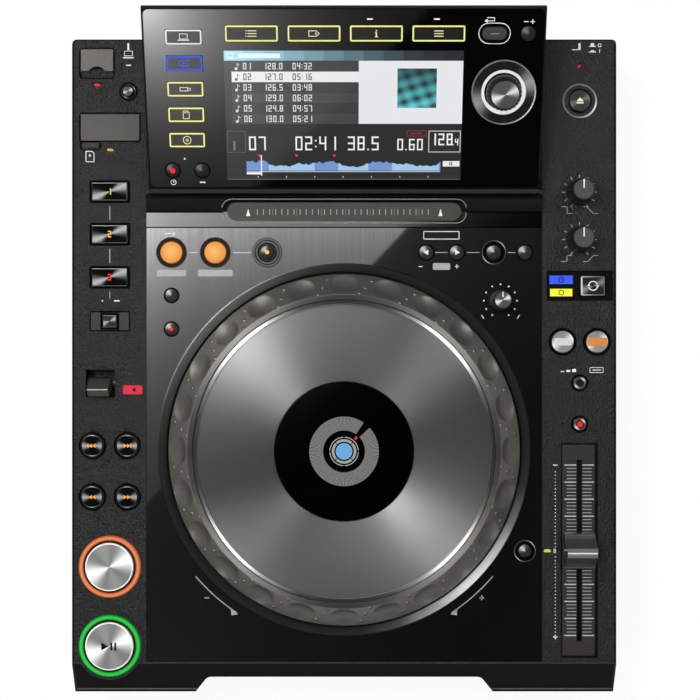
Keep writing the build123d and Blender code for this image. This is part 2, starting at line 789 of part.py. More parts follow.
# top plate: a turned disc in the dial's rim, free to sink by the press travel
plate_radius = rim_radius - plate_gap
plate_foot_z = web_top + plate_travel + 0.1
with BuildPart() as jog_plate:
    with BuildSketch(jog_section):
        with BuildLine():
            Polyline(
                (window_radius + plate_gap, plate_z - plate_sheet),
                (window_radius + plate_gap, plate_z),
                (plate_radius - plate_bevel, plate_z),
                (plate_radius, plate_z - plate_bevel),
                (plate_radius, plate_foot_z),
                (plate_radius - plate_skirt, plate_foot_z),
                (plate_radius - plate_skirt, plate_z - plate_sheet),
                close=True,
            )
        make_face()
    revolve(axis=jog_axis)
jog_plate.part.label = "jog_plate"
export_step(jog_plate.part, "parts/jog_plate.step")

# the round display stands still on the hollow post while the dial turns about it
with BuildPart() as jog_display:
    with BuildSketch(jog_section):
        with BuildLine():
            Polyline(
                (0, post_top - display_stem),
                (post_bore - seam / 2, post_top - display_stem),
                (post_bore - seam / 2, post_top),
                (window_radius, post_top),
                (window_radius, plate_z - window_sink),
                (0, plate_z - window_sink),
                close=True,
            )
        make_face()
    revolve(axis=jog_axis)
jog_display.part.label = "jog_display"
export_step(jog_display.part, "parts/jog_display.step")

# ---------------------------------------------------------------- display housing
shell_half = display_width / 2 + bezel_rim
rim_low = slope_point(-bezel_rim, bezel_lip)
rim_high = slope_point(display_length + bezel_rim, bezel_lip)
brow_low = (rim_low[0] - 3.2, rim_low[1] - 3.4)
slope_top = (rim_low[0] - 5.6, deck_z + slope_rise)
lip_back = panel_rear_y + seam + lip_run
inner_low = slope_point(1.4, -glass_sheet - shell_wall)
inner_high = slope_point(display_length - 2.0, -glass_sheet - shell_wall)
with BuildPart() as display_housing:
    # base flange and needle apron, as wide as the centre panel
    with BuildSketch(Plane.YZ):
        with BuildLine():
            Polyline(
                slope_top,
                (slope_top[0] + 12, slope_top[1]),
                (slope_top[0] + 12, deck_z),
                (wing_rear_y - seam, deck_z),
                (wing_rear_y - seam, seat_z),
                (panel_rear_y + seam, seat_z),
                (panel_rear_y + seam, deck_z + lip_rise - 0.3),
                (panel_rear_y + seam + 0.4, deck_z + lip_rise),
                (lip_back, deck_z + lip_rise),
            )
            SagittaArc((lip_back, deck_z + lip_rise), slope_top, 0.55)
        make_face()
    extrude(amount=half_panel, both=True)
    # tilted shell
    with BuildSketch(Plane.YZ):
        with BuildLine():
            Polyline(
                brow_low,
                rim_low,
                rim_high,
                (rim_high[0] + 1.6, rim_high[1] - 1.8),
                (tail_wall_y, seat_z),
                (brow_low[0] + 3, seat_z),
                (brow_low[0] + 1.5, slope_top[1] - 1),
                close=True,
            )
        make_face()
    extrude(amount=shell_half, both=True)
    # hollow, open underneath
    with BuildSketch(Plane.YZ):
        with BuildLine():
            Polyline(
                inner_low,
                inner_high,
                (tail_wall_y - 3 * shell_wall, seat_z),
                (inner_low[0], seat_z),
                close=True,
            )
        make_face()
    extrude(amount=display_width / 2 - shell_wall, both=True, mode=Mode.SUBTRACT)
    # seat for the glass
    with BuildSketch(display_at(-glass_sheet)):
        with Locations((0, display_length / 2)):
            RectangleRounded(
                display_width + 2 * seam, display_length + 2 * seam, glass_corner + seam
            )
    extrude(amount=glass_sheet + 2, mode=Mode.SUBTRACT)
    # openings for the screen, the keys and the selector
    with BuildSketch(display_at(-glass_sheet - shell_wall)):
        with Locations((0, screen_v)):
            Rectangle(screen_width + 2 * seam, screen_height + 2 * seam)
        with Locations((source_u, source_v + source_pitch * (source_count - 1) / 2)):
            with GridLocations(0, source_pitch, 1, source_count):
                Rectangle(source_size[0] + 2 * key_gap, source_size[1] + 2 * key_gap)
        with Locations((browse_u, browse_v)):
            with GridLocations(browse_pitch, 0, browse_count, 1):
                Rectangle(browse_size[0] + 2 * key_gap, browse_size[1] + 2 * key_gap)
        with Locations((back_u, browse_v)):
            SlotOverall(back_size[0] + 2 * key_gap, back_size[1] + 2 * key_gap)
        with Locations((tag_u, browse_v)):
            RegularPolygon(tag_radius + key_gap, key_sides)
        with Locations(*[(u, mode_v) for u in mode_u]):
            RegularPolygon(mode_radius + key_gap, key_sides)
        with Locations((selector_u, selector_v)):
            Circle(selector_light[1] + seam)
    extrude(amount=shell_wall, mode=Mode.SUBTRACT)
    # trough of the needle pad
    with BuildSketch(Plane.XY.offset(deck_z - 0.9)):
        with Locations((0, needle_y)):
            SlotOverall(needle_length, needle_width)
    extrude(amount=8, mode=Mode.SUBTRACT)
display_housing.part.label = "display_housing"
export_step(display_housing.part, "parts/display_housing.step")

with BuildPart() as needle_pad:
    with BuildSketch(Plane.XY.offset(deck_z - 0.9)):
        with Locations((0, needle_y - 0.4)):
            SlotOverall(needle_length - 4 * needle_margin, needle_width - 1.8 * needle_margin)
    extrude(amount=1.1)
needle_pad.part.label = "needle_pad"
export_step(needle_pad.part, "parts/needle_pad.step")

with BuildPart() as display_glass:
    with BuildSketch(display_at(-glass_sheet)):
        with Locations((0, display_length / 2)):
            RectangleRounded(display_width, display_length, glass_corner)
        with Locations((source_u, source_v + source_pitch * (source_count - 1) / 2)):
            with GridLocations(0, source_pitch, 1, source_count):
                Rectangle(
                    source_size[0] + 2 * key_gap,
                    source_size[1] + 2 * key_gap,
                    mode=Mode.SUBTRACT,
                )
        with Locations((browse_u, browse_v)):
            with GridLocations(browse_pitch, 0, browse_count, 1):
                Rectangle(
                    browse_size[0] + 2 * key_gap,
                    browse_size[1] + 2 * key_gap,
                    mode=Mode.SUBTRACT,
                )
        with Locations((back_u, browse_v)):
            SlotOverall(
                back_size[0] + 2 * key_gap, back_size[1] + 2 * key_gap, mode=Mode.SUBTRACT
            )
        with Locations((tag_u, browse_v)):
            RegularPolygon(tag_radius + key_gap, key_sides, mode=Mode.SUBTRACT)
        with Locations(*[(u, mode_v) for u in mode_u]):
            RegularPolygon(mode_radius + key_gap, key_sides, mode=Mode.SUBTRACT)
        with Locations((selector_u, selector_v)):
            Circle(selector_light[1] + seam, mode=Mode.SUBTRACT)
    extrude(amount=glass_sheet)
    # raised ring round the selector
    with BuildSketch(display_plane):
        with Locations((selector_u, selector_v)):
            Circle(selector_bezel)
            Circle(selector_light[1] + seam, mode=Mode.SUBTRACT)
    extrude(amount=selector_bezel_rise)
display_glass.part.label = "display_glass"
export_step(display_glass.part, "parts/display_glass.step")

with BuildPart() as lcd_module:
    with BuildSketch(display_at(-glass_sheet - seam)):
        with Locations((0, screen_v)):
            Rectangle(screen_width, screen_height)
    extrude(amount=-shell_wall - seam)
    with BuildSketch(display_at(-glass_sheet - shell_wall - 2 * seam)):
        with Locations((0, screen_v)):
            Rectangle(screen_width + 2 * screen_frame, screen_height + 2 * screen_frame)
    extrude(amount=-4.5)
lcd_module.part.label = "lcd_module"
export_step(lcd_module.part, "parts/lcd_module.step")

# ---------------------------------------------------------------- display keys
web_depth = -glass_sheet - shell_wall - seam
tile_rows = {
    "source_keys": (
        (source_u, source_v + source_pitch * (source_count - 1) / 2),
        (0, source_pitch, 1, source_count),
        source_size,
        (source_size[0] - 4, source_pitch * (source_count - 1) + 4),
    ),
    "browse_keys": (
        (browse_u, browse_v),
        (browse_pitch, 0, browse_count, 1),
        browse_size,
        (browse_pitch * (browse_count - 1) + 12, browse_size[1] - 3),
    ),
}
for name, (centre, grid, size, web) in tile_rows.items():
    with BuildPart() as tiles:
        with BuildSketch(display_at(tile_proud)):
            with Locations(centre):
                with GridLocations(*grid):
                    key_top = Rectangle(*size)
            chamfer(key_top.vertices(), tile_corner)
        extrude(amount=web_depth - tile_proud)
        # web that joins the key tops under the shell
        with BuildSketch(display_at(web_depth)):
            with Locations(centre):
                Rectangle(*web)
        extrude(amount=-tile_web)
    tiles.part.label = name
    export_step(tiles.part, f"parts/{name}.step")

with BuildPart() as display_keys:
    with BuildSketch(display_at(2 * tile_proud)):
        with Locations(*[(u, mode_v) for u in mode_u]):
            RegularPolygon(mode_radius, key_sides)
    extrude(amount=web_depth - 2 * tile_proud)
    chamfer(display_keys.faces().sort_by(Axis.Z)[-2:].edges(), key_chamfer)
    with BuildSketch(display_at(web_depth)):
        with Locations(((mode_u[0] + mode_u[1]) / 2, mode_v)):
            Rectangle(mode_u[1] - mode_u[0] + mode_radius, mode_radius)
    extrude(amount=-tile_web)
display_keys.part.label = "display_keys"
export_step(display_keys.part, "parts/display_keys.step")

with BuildPart() as back_key:
    with BuildSketch(display_at(3 * tile_proud)):
        with Locations((back_u, browse_v)):
            SlotOverall(*back_size)
    extrude(amount=web_depth - 3 * tile_proud)
    chamfer(back_key.faces().sort_by(Axis.Z)[-1].edges(), key_chamfer)
    with BuildSketch(display_at(web_depth)):
        with Locations((back_u, browse_v)):
            Rectangle(back_size[0] + 2 * flange_margin, back_size[1] + flange_margin)
    extrude(amount=-tile_web)
back_key.part.label = "back_key"
export_step(back_key.part, "parts/back_key.step")

with BuildPart() as tag_key:
    with BuildSketch(display_at(2 * tile_proud)):
        with Locations((tag_u, browse_v)):
            RegularPolygon(tag_radius, key_sides)
    extrude(amount=web_depth - 2 * tile_proud)
    chamfer(tag_key.faces().sort_by(Axis.Z)[-1].edges(), key_chamfer)
    with BuildSketch(display_at(web_depth)):
        with Locations((tag_u - 0.6, browse_v - 0.4)):
            Rectangle(2 * tag_radius + flange_margin, 2 * tag_radius + flange_margin)
    extrude(amount=-tile_web)
tag_key.part.label = "tag_key"
export_step(tag_key.part, "parts/tag_key.step")

# rotary selector: the knob turns on a shaft that can be pushed in
selector_lift = key_travel + key_gap
with BuildPart() as selector_shaft:
    with BuildSketch(display_at(web_depth - 3)):
        with Locations((selector_u, selector_v)):
            Circle(selector_shaft_radius)
    extrude(amount=selector_lift + selector_height - selector_crown - web_depth + 3)
    with BuildSketch(display_at(web_depth)):
        with Locations((selector_u, selector_v)):
            Rectangle(2 * selector_light[1] + 3, 10)
    extrude(amount=-tile_web)
selector_shaft.part.label = "selector_shaft"
export_step(selector_shaft.part, "parts/selector_shaft.step")

selector_centre = Plane(
    display_plane.from_local_coords(Vector(selector_u, selector_v, 0)),
    x_dir=(1, 0, 0),
    z_dir=display_plane.z_dir,
)
with BuildPart() as selector_knob:
    with BuildSketch(selector_centre.offset(selector_lift)):
        RegularPolygon(selector_knob_radius, knob_flutes)
    extrude(amount=selector_height - selector_crown, taper=8)
    with BuildSketch(selector_centre.offset(selector_lift + selector_height - selector_crown)):
        RegularPolygon(selector_top_radius, knob_flutes)
    extrude(amount=selector_crown, taper=12)
    with BuildSketch(selector_centre.offset(selector_lift)):
        Circle(selector_shaft_radius + bearing_gap)
    extrude(amount=selector_height - selector_crown + bearing_gap, mode=Mode.SUBTRACT)
selector_knob.part.label = "selector_knob"
export_step(selector_knob.part, "parts/selector_knob.step")

# ---------------------------------------------------------------- keys of the deck
def key_levels(underside):
    """(flange top, stem foot, switch top) of a key kept under a wall at that height."""
    flange_top = underside - key_gap
    stem_foot = flange_top - flange_sheet - stem_drop
    return flange_top, stem_foot, stem_foot - key_travel - switch_gap


collared = set(panel_collars) | set(deck_collars)
round_keys = [(name, spot, wall_z) for name, spot in deck_keys.items()]
round_keys += [(name, spot, seat_z) for name, spot in panel_keys.items()]
for name, (x, y, radius), underside in round_keys:
    flange_top, stem_foot, switch_top = key_levels(underside)
    crown = deck_z + key_proud + (collar_key_lift if name in collared else 0.0)
    with BuildPart() as key:
        with BuildSketch(Plane.XY.offset(flange_top)):
            with Locations((x, y)):
                RegularPolygon(radius, key_sides)
        extrude(amount=crown - flange_top)
        chamfer(key.faces().sort_by(Axis.Z)[-1].edges(), key_chamfer)
        with BuildSketch(Plane.XY.offset(flange_top)):
            with Locations((x, y)):
                Rectangle(2 * (radius + flange_margin), 2 * radius + flange_margin)
        extrude(amount=-flange_sheet)
        with BuildSketch(Plane.XY.offset(flange_top - flange_sheet)):
            with Locations((x, y)):
                Rectangle(stem_side, stem_side)
        extrude(amount=-stem_drop)
    key.part.label = name
    export_step(key.part, f"parts/{name}.step")

flat_keys = dict(block_keys)
for name, y in hot_cue_y.items():
    flat_keys[name] = (left_x, y, *hot_cue_size)
flange_top, stem_foot, switch_top = key_levels(wall_z)
for name, (x, y, width, depth) in flat_keys.items():
    with BuildPart() as key:
        with BuildSketch(Plane.XY.offset(flange_top)):
            with Locations((x, y)):
                Rectangle(width, depth)
        extrude(amount=deck_z + key_proud - flange_top)
        chamfer(key.faces().sort_by(Axis.Z)[-1].edges(), key_chamfer)
        with BuildSketch(Plane.XY.offset(flange_top)):
            with Locations((x, y)):
                Rectangle(width + 2 * flange_margin, depth + 2 * flange_margin)
        extrude(amount=-flange_sheet)
        with BuildSketch(Plane.XY.offset(flange_top - flange_sheet)):
            with Locations((x, y)):
                Rectangle(stem_side, stem_side)
        extrude(amount=-stem_drop)
    key.part.label = name
    export_step(key.part, f"parts/{name}.step")

# large transport buttons: turned caps with a bevelled rim, inside their light rings
for name, (x, y) in cue_spots.items():
    with BuildPart() as button:
        with BuildSketch(Plane.XY.offset(stem_foot + stem_drop)):
            with Locations((x, y)):
                Circle(cue_radius)
        extrude(amount=deck_z + cue_proud - stem_foot - stem_drop)
        chamfer(button.faces().sort_by(Axis.Z)[-1].edges(), cue_bevel)
        with BuildSketch(Plane.XY.offset(stem_foot)):
            with Locations((x, y)):
                Rectangle(2 * stem_side, 2 * stem_side)
        extrude(amount=stem_drop)
    button.part.label = name
    export_step(button.part, f"parts/{name}.step")

# lit rings and indicator lenses
with BuildPart() as light_guides:
    with BuildSketch(Plane.XY.offset(stem_foot)):
        for spot in cue_spots.values():
            with Locations(spot):
                Circle(cue_ring_outer)
                Circle(cue_ring_inner, mode=Mode.SUBTRACT)
    extrude(amount=deck_z + edge_break + ring_proud - stem_foot)
    with BuildSketch(Plane.XY.offset(wall_z)):
        for x, y, width, depth in lamps:
            with Locations((x, y)):
                Rectangle(width, depth)
    extrude(amount=wall + lamp_proud)
    with BuildSketch(display_at(web_depth)):
        with Locations((selector_u, selector_v)):
            Circle(selector_light[1])
            Circle(selector_light[0], mode=Mode.SUBTRACT)
    extrude(amount=selector_light_rise - web_depth)
light_guides.part.label = "light_guides"
export_step(light_guides.part, "parts/light_guides.step")

# ---------------------------------------------------------------- rotary knobs
pot_top = wall_z - pot_clearance
for name, (x, y, skirt, top, height) in knobs.items():
    with BuildPart() as knob:
        with BuildSketch(Plane.XY.offset(deck_z + knob_gap)):
            with Locations((x, y)):
                RegularPolygon(skirt, knob_flutes)
        extrude(amount=height - knob_cap, taper=degrees(atan2(skirt - top, height)))
        with BuildSketch(Plane.XY.offset(deck_z + knob_gap + height - knob_cap)):
            with Locations((x, y)):
                RegularPolygon(top, knob_flutes)
        extrude(amount=knob_cap, taper=20)
        with BuildSketch(Plane.XY.offset(deck_z + knob_gap)):
            with Locations((x, y)):
                RegularPolygon(knob_shaft, key_sides)
        extrude(amount=pot_top + key_gap - deck_z - knob_gap)
    knob.part.label = name
    export_step(knob.part, f"parts/{name}.step")

# ---------------------------------------------------------------- tempo fader
with BuildPart() as fader_plate:
    with BuildSketch(Plane.XY.offset(seat_z)):
        with Locations((fader_x, fader_y)):
            Rectangle(*fader_plate_size)
            Rectangle(*fader_slot, mode=Mode.SUBTRACT)
    extrude(amount=panel_sheet)
fader_plate.part.label = "fader_plate"
export_step(fader_plate.part, "parts/fader_plate.step")

slider_z = deck_z + key_gap
slider_top = slider_z + slider_height
with BuildPart() as tempo_slider:
    # section along the travel: waisted flanks that climb to a narrow crown
    with BuildSketch(Plane.YZ.offset(fader_x)):
        with BuildLine():
            half = slider_size[1] / 2
            Polyline(
                (fader_y - slider_crown / 2, slider_top),
                (fader_y - half + 1.6, slider_z + slider_skirt + 1.0),
                (fader_y - half, slider_z + slider_skirt),
                (fader_y - half, slider_z),
                (fader_y + half, slider_z),
                (fader_y + half, slider_z + slider_skirt),
                (fader_y + half - 1.6, slider_z + slider_skirt + 1.0),
                (fader_y + slider_crown / 2, slider_top),
                close=True,
            )
        make_face()
    extrude(amount=slider_size[0] / 2, both=True)
    crown_ends = tempo_slider.faces().filter_by(Axis.X).edges().filter_by(Axis.Y)
    chamfer(crown_ends.group_by(Axis.Z)[-1], 0.8)
    with BuildSketch(Plane.XY.offset(slider_z)):
        with Locations((fader_x, fader_y)):
            Rectangle(fader_slot[0] - 2 * key_gap, 6.0)
    extrude(amount=seat_z - key_gap - slider_z)
    with BuildSketch(Plane.XY.offset(seat_z - key_gap)):
        with Locations((fader_x, fader_y)):
            Rectangle(8.0, 10.0)
    extrude(amount=-flange_sheet)
tempo_slider.part.label = "tempo_slider"
export_step(tempo_slider.part, "parts/tempo_slider.step")

# ---------------------------------------------------------------- direction lever
with BuildPart() as direction_lever:
    with BuildSketch(Plane.YZ.offset(lever_x)):
        with BuildLine():
            Polyline(
                (lever_y + 2.2, lever_pivot_z),
                (lever_y + 2.4, deck_z + 2.5),
                (lever_y - 3.0, deck_z + 11.3),
                (lever_y - 3.8, deck_z + 11.3),
                (lever_y - 7.5, deck_z + 5.2),
                (lever_y - 6.7, deck_z + 1.5),
                (lever_y - 2.4, lever_pivot_z),
                close=True,
            )
        make_face()
    extrude(amount=lever_width / 2, both=True)
    with Locations((lever_x, lever_y, lever_pivot_z)):
        Cylinder(lever_boss, lever_well[0] - 2 * key_gap, rotation=(0, 90, 0))
        Cylinder(pin_radius, lever_well[0] + 2 * pin_reach, rotation=(0, 90, 0))
direction_lever.part.label = "direction_lever"
export_step(direction_lever.part, "parts/direction_lever.step")

# ---------------------------------------------------------------- socket covers
covers = {
    "usb_door": (usb_door_x, usb_door_y, usb_door_size),
    "sd_door": (sd_door_x, sd_door_y, sd_door_size),
}
for name, (x, y, size) in covers.items():
    hinge_y = y - door_sheet / 2 - door_side_gap
    with BuildPart() as door:
        with BuildSketch(Plane.XY.offset(deck_z - door_sheet)):
            with Locations((x, (hinge_y + y - size[1] + door_side_gap) / 2)):
                Rectangle(size[0] - 2 * door_side_gap, hinge_y - y + size[1] - door_side_gap)
            if name == "usb_door":
                # finger scoop in the free edge
                with Locations((x, y - size[1] - scoop_radius / 2)):
                    Circle(scoop_radius, mode=Mode.SUBTRACT)
        extrude(amount=door_sheet)
        with Locations((x, hinge_y, hinge_z)):
            Cylinder(door_sheet / 2, size[0] - 2 * door_side_gap, rotation=(0, 90, 0))
            Cylinder(door_pin, size[0] + 2 * pin_reach - 2 * key_gap, rotation=(0, 90, 0))
    door.part.label = name
    export_step(door.part, f"parts/{name}.step")

# ---------------------------------------------------------------- rear sockets and power key
with BuildPart() as sockets:
    with BuildSketch(Plane.XZ.offset(-tail_wall_y)):
        for x in pin_jack_x:
            with Locations((x, rear_mid_z)):
                Rectangle(2 * pin_jack_collar, 2 * pin_jack_collar)
        with Locations((remote_jack_x, rear_mid_z)):
            Rectangle(2 * pin_jack_radius, 2 * pin_jack_radius)
            Circle(remote_jack_bore, mode=Mode.SUBTRACT)
        for x, size in ((lan_x, lan_size), (usb_b_x, usb_b_size), (mains_x, mains_size)):
            with Locations((x, rear_mid_z)):
                Rectangle(*size)
    extrude(amount=socket_depth)
    with BuildSketch(Plane.XZ.offset(-tail_wall_y)):
        for x in pin_jack_x:
            with Locations((x, rear_mid_z)):
                Circle(pin_jack_radius)
                Circle(pin_jack_bore, mode=Mode.SUBTRACT)
    extrude(amount=-(rear_y - tail_wall_y))
    with BuildSketch(Plane.XZ.offset(-tail_wall_y)):
        with Locations((lan_x, rear_mid_z)):
            Rectangle(*lan_bore)
        with Locations((usb_b_x, rear_mid_z)):
            Rectangle(*usb_b_bore)
        with Locations((mains_x, rear_mid_z)):
            Rectangle(mains_size[0] - 2 * mains_wall, mains_size[1] - 2 * mains_wall)
    extrude(amount=socket_depth - socket_floor, mode=Mode.SUBTRACT)
    # blades of the mains inlet
    with BuildSketch(Plane.XZ.offset(-tail_wall_y + socket_depth - 1)):
        with Locations((mains_x, rear_mid_z)):
            with GridLocations(mains_pitch, 1, 2, 1):
                Rectangle(*mains_blade)
    extrude(amount=-(socket_depth - 5))
    # stick socket tongue and card carrier in their wells
    with Locations((usb_door_x, usb_well_y, socket_floor_z + 4.0)):
        Box(11.4, 1.9, 8.0)
sockets.part.label = "sockets"
export_step(sockets.part, "parts/sockets.step")

with BuildPart() as power_button:
    with Locations((power_x, wing_rear_y - wall / 2, power_z)):
        Box(power_size[0], wall + 2 * power_travel + 1.2, power_size[1])
    with Locations((power_x, wing_rear_y - wall - key_gap - flange_sheet / 2, power_z)):
        Box(power_size[0] + 2 * flange_margin, flange_sheet, power_size[1] + 2 * flange_margin)
power_button.part.label = "power_button"
export_step(power_button.part, "parts/power_button.step")

# ---------------------------------------------------------------- circuit board
board_half = half_width - wall - board_clearance
board_front_y = deck_front_y + board_clearance
board_rear_y = wing_rear_y - wall - board_clearance
board_strip = board_half - panel_keys["delete_key"][0]
with BuildPart() as main_board:
    with BuildSketch(Plane.XY.offset(board_z)):
        with Locations((0, (board_front_y + board_rear_y) / 2)):
            with GridLocations(2 * board_half - board_strip, 1, 2, 1):
                Rectangle(board_strip, board_rear_y - board_front_y)
        with Locations((0, panel_row_y)):
            Rectangle(2 * board_half, board_row)
        with Locations((0, jog_y)):
            Circle(bowl_radius + bowl_wall + 1.0, mode=Mode.SUBTRACT)
        with Locations((usb_door_x, usb_door_y - (usb_door_size[1] + usb_step) / 2)):
            Rectangle(
                usb_door_size[0] + wall + 1,
                usb_door_size[1] + usb_step + wall + 1,
                mode=Mode.SUBTRACT,
            )
        with Locations((sd_door_x, sd_door_y - sd_door_size[1] / 2)):
            Rectangle(sd_door_size[0] + wall + 1, sd_door_size[1] + wall + 1, mode=Mode.SUBTRACT)
        with Locations((lever_x, lever_y)):
            Rectangle(lever_well[0] + 2 * wall + 1, lever_well[1] + 2 * wall + 1, mode=Mode.SUBTRACT)
        with Locations(cue_spots["play_button"]):
            Circle(play_boss_radius + 1, mode=Mode.SUBTRACT)
    extrude(amount=board_sheet)
    # push switches under the keys
    with BuildSketch(Plane.XY.offset(board_top)):
        for x, y, radius in deck_keys.values():
            with Locations((x, y)):
                Rectangle(switch_side, switch_side)
        for x, y, width, depth in flat_keys.values():
            with Locations((x, y)):
                Rectangle(switch_side, switch_side)
        with Locations(cue_spots["cue_button"]):
            Rectangle(stem_side + switch_side, stem_side + switch_side)
    extrude(amount=key_levels(wall_z)[2] - board_top)
    with BuildSketch(Plane.XY.offset(board_top)):
        for x, y, radius in panel_keys.values():
            with Locations((x, y)):
                Rectangle(switch_side, switch_side)
    extrude(amount=key_levels(seat_z)[2] - board_top)
    # rotary controls
    with BuildSketch(Plane.XY.offset(board_top)):
        for x, y, skirt, top, height in knobs.values():
            with Locations((x, y)):
                Rectangle(*pot_size)
    extrude(amount=pot_top - board_top)
main_board.part.label = "main_board"
export_step(main_board.part, "parts/main_board.step")
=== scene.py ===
from math import atan2, cos, pi, radians, sin, tan

import bmesh
import bpy
import numpy as np
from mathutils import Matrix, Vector


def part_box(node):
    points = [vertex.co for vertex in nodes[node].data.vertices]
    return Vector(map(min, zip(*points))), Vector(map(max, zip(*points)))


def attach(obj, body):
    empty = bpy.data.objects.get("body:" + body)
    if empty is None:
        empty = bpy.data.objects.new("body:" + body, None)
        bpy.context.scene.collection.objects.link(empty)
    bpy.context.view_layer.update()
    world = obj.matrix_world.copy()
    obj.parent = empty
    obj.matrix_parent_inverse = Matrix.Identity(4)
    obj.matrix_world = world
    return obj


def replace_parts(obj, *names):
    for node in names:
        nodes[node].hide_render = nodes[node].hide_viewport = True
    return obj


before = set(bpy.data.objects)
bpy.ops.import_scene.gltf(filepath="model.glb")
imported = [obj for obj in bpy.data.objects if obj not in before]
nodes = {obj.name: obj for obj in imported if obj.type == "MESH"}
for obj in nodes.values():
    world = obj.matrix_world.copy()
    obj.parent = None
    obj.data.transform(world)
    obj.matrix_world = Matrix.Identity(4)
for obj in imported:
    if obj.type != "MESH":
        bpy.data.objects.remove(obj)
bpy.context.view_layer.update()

# ---------------------------------------------------------------- sizes in mm, as the solids have them
MM = 0.001
deck = 64.0
case_wall = 3.2
panel_sheet = 1.6
jog_y = -58.55
slope_foot = (103.0, 65.2)
slope_head = (90.8, 77.6)
rim_inner = 87.6
dimple_count = 24
dimple_radius = 8.2
dimple_depth = 1.9
glass_front = 94.7
glass_foot = 73.0
tilt = radians(19.3)
deck_front = -183.3
apron_run = 19.65
apron_drop = 11.0
key_field_y = 57.2


# ---------------------------------------------------------------- surfaces
def upright(points, centre):
    """Spot's own axes to the shared frame: the spot's x and y are added, z stays."""
    return points + np.array([centre[0], centre[1], 0.0])


def up_slope(points, centre):
    """Spot's own axes to the display face: y runs up the slope and z out of it."""
    x = points[..., 0] + centre[0]
    v = points[..., 1] + centre[1]
    w = points[..., 2]
    y = glass_front + v * cos(tilt) - w * sin(tilt)
    z = glass_foot + v * sin(tilt) + w * cos(tilt)
    return np.stack([x, y, z], -1)


def surface(name, points, wrap=True, polar=None, close=True, sharp=38):
    """Quads between neighbours of a grid of points in mm. With wrap the last column joins the
    first. The map runs round the columns in u and along the rows' length in v, or over the
    angle and distance about the spot where polar gives each point's place in the spot's plan."""
    rows, cols = points.shape[:2]
    i, j = np.meshgrid(np.arange(rows - 1), np.arange(cols if wrap else cols - 1), indexing="ij")
    i, j = i.ravel(), j.ravel()
    k = (j + 1) % cols
    quads = np.stack([i * cols + j, i * cols + k, (i + 1) * cols + k, (i + 1) * cols + j], 1)
    mesh = bpy.data.meshes.new(name)
    mesh.from_pydata((points.reshape(-1, 3) * MM).tolist(), [], quads.tolist())
    along = np.linalg.norm(np.diff(points, axis=0), axis=-1).mean(1)
    v = np.repeat(np.concatenate([[0.0], np.cumsum(along)])[:, None], cols, 1)
    u = np.broadcast_to(np.arange(cols) / cols, (rows, cols))
    if polar is not None:
        turns = np.arctan2(polar[-2, :, 1], polar[-2, :, 0]) / (2 * pi)
        u = np.broadcast_to(np.unwrap(turns, period=1.0), (rows, cols))
        v = np.hypot(polar[..., 0], polar[..., 1])
    after = u[i, k] + (k == 0) * 1.0
    corners = np.stack([
        np.stack([u[i, j], v[i, j] * 0.01], 1), np.stack([after, v[i, k] * 0.01], 1),
        np.stack([after, v[i + 1, k] * 0.01], 1), np.stack([u[i, j], v[i + 1, j] * 0.01], 1)], 1)
    mesh.uv_layers.new(name="round").data.foreach_set("uv", corners.ravel().astype(np.float32))
    return finish_mesh(name, mesh, sharp, close)


def finish_mesh(name, mesh, sharp=38, close=True):
    """Merges equal points, turns a closed shell's faces outwards and links the object."""
    if close:
        work = bmesh.new()
        work.from_mesh(mesh)
        bmesh.ops.remove_doubles(work, verts=work.verts, dist=1e-7)
        bmesh.ops.recalc_face_normals(work, faces=work.faces)
        work.to_mesh(mesh)
        work.free()
    mesh.validate()
    mesh.polygons.foreach_set("use_smooth", np.ones(len(mesh.polygons), bool))
    mesh.set_sharp_from_angle(angle=radians(sharp))
    piece = bpy.data.objects.new(name, mesh)
    bpy.context.scene.collection.objects.link(piece)
    return piece


def soften(profile, radius, steps=3):
    """Each inner corner of a profile becomes a parabola between points at radius on its sides."""
    p = np.array(profile, float)
    before, corner, after = p[:-2], p[1:-1], p[2:]
    back, ahead = before - corner, after - corner
    reach_back = np.linalg.norm(back, axis=1, keepdims=True)
    reach_ahead = np.linalg.norm(ahead, axis=1, keepdims=True)
    start = corner + back / reach_back * np.minimum(radius, 0.45 * reach_back)
    end = corner + ahead / reach_ahead * np.minimum(radius, 0.45 * reach_ahead)
    t = np.linspace(0, 1, steps + 1)[None, :, None]
    curve = (1 - t) ** 2 * start[:, None] + 2 * t * (1 - t) * corner[:, None] + t**2 * end[:, None]
    return np.concatenate([p[:1], curve.reshape(-1, 2), p[-1:]])


def turned(name, profile, centre, place=upright, steps=72):
    """A profile of (radius, height) points carried round an upright axis at the spot."""
    angle = np.linspace(0, 2 * pi, steps, endpoint=False)[None, :]
    r, z = np.array(profile, float).T[:, :, None]
    points = np.stack([r * np.cos(angle), r * np.sin(angle), z + 0 * angle], -1)
    return surface(name, place(points, centre), polar=points[..., :2])


def slab(width, depth, radius, steps=5, run=0):
    """Outline of a rectangle with round corners: four quarter circles about its inset corners,
    and any points of the straight runs between them at even steps."""
    turn = np.linspace(0, pi / 2, steps)
    quarter = np.arange(4)[:, None] * pi / 2
    angle = (quarter + turn[None, :]).ravel()
    side = np.repeat([[1, 1], [-1, 1], [-1, -1], [1, -1]], steps, axis=0)
    core = side * np.array([width / 2 - radius, depth / 2 - radius])
    corners = (core + radius * np.stack([np.cos(angle), np.sin(angle)], 1)).reshape(4, steps, 2)
    t = (np.arange(1, run + 1) / (run + 1))[None, :, None]
    sides = corners[:, -1:] * (1 - t) + np.roll(corners, -1, axis=0)[:, :1] * t
    return np.concatenate([corners, sides], 1).reshape(-1, 2)


def outward(outline):
    """Unit normals of a closed outline: the mean run of its neighbours turned by a quarter."""
    run = np.roll(outline, -1, axis=0) - np.roll(outline, 1, axis=0)
    run /= np.linalg.norm(run, axis=1, keepdims=True)
    return np.stack([run[:, 1], -run[:, 0]], 1)


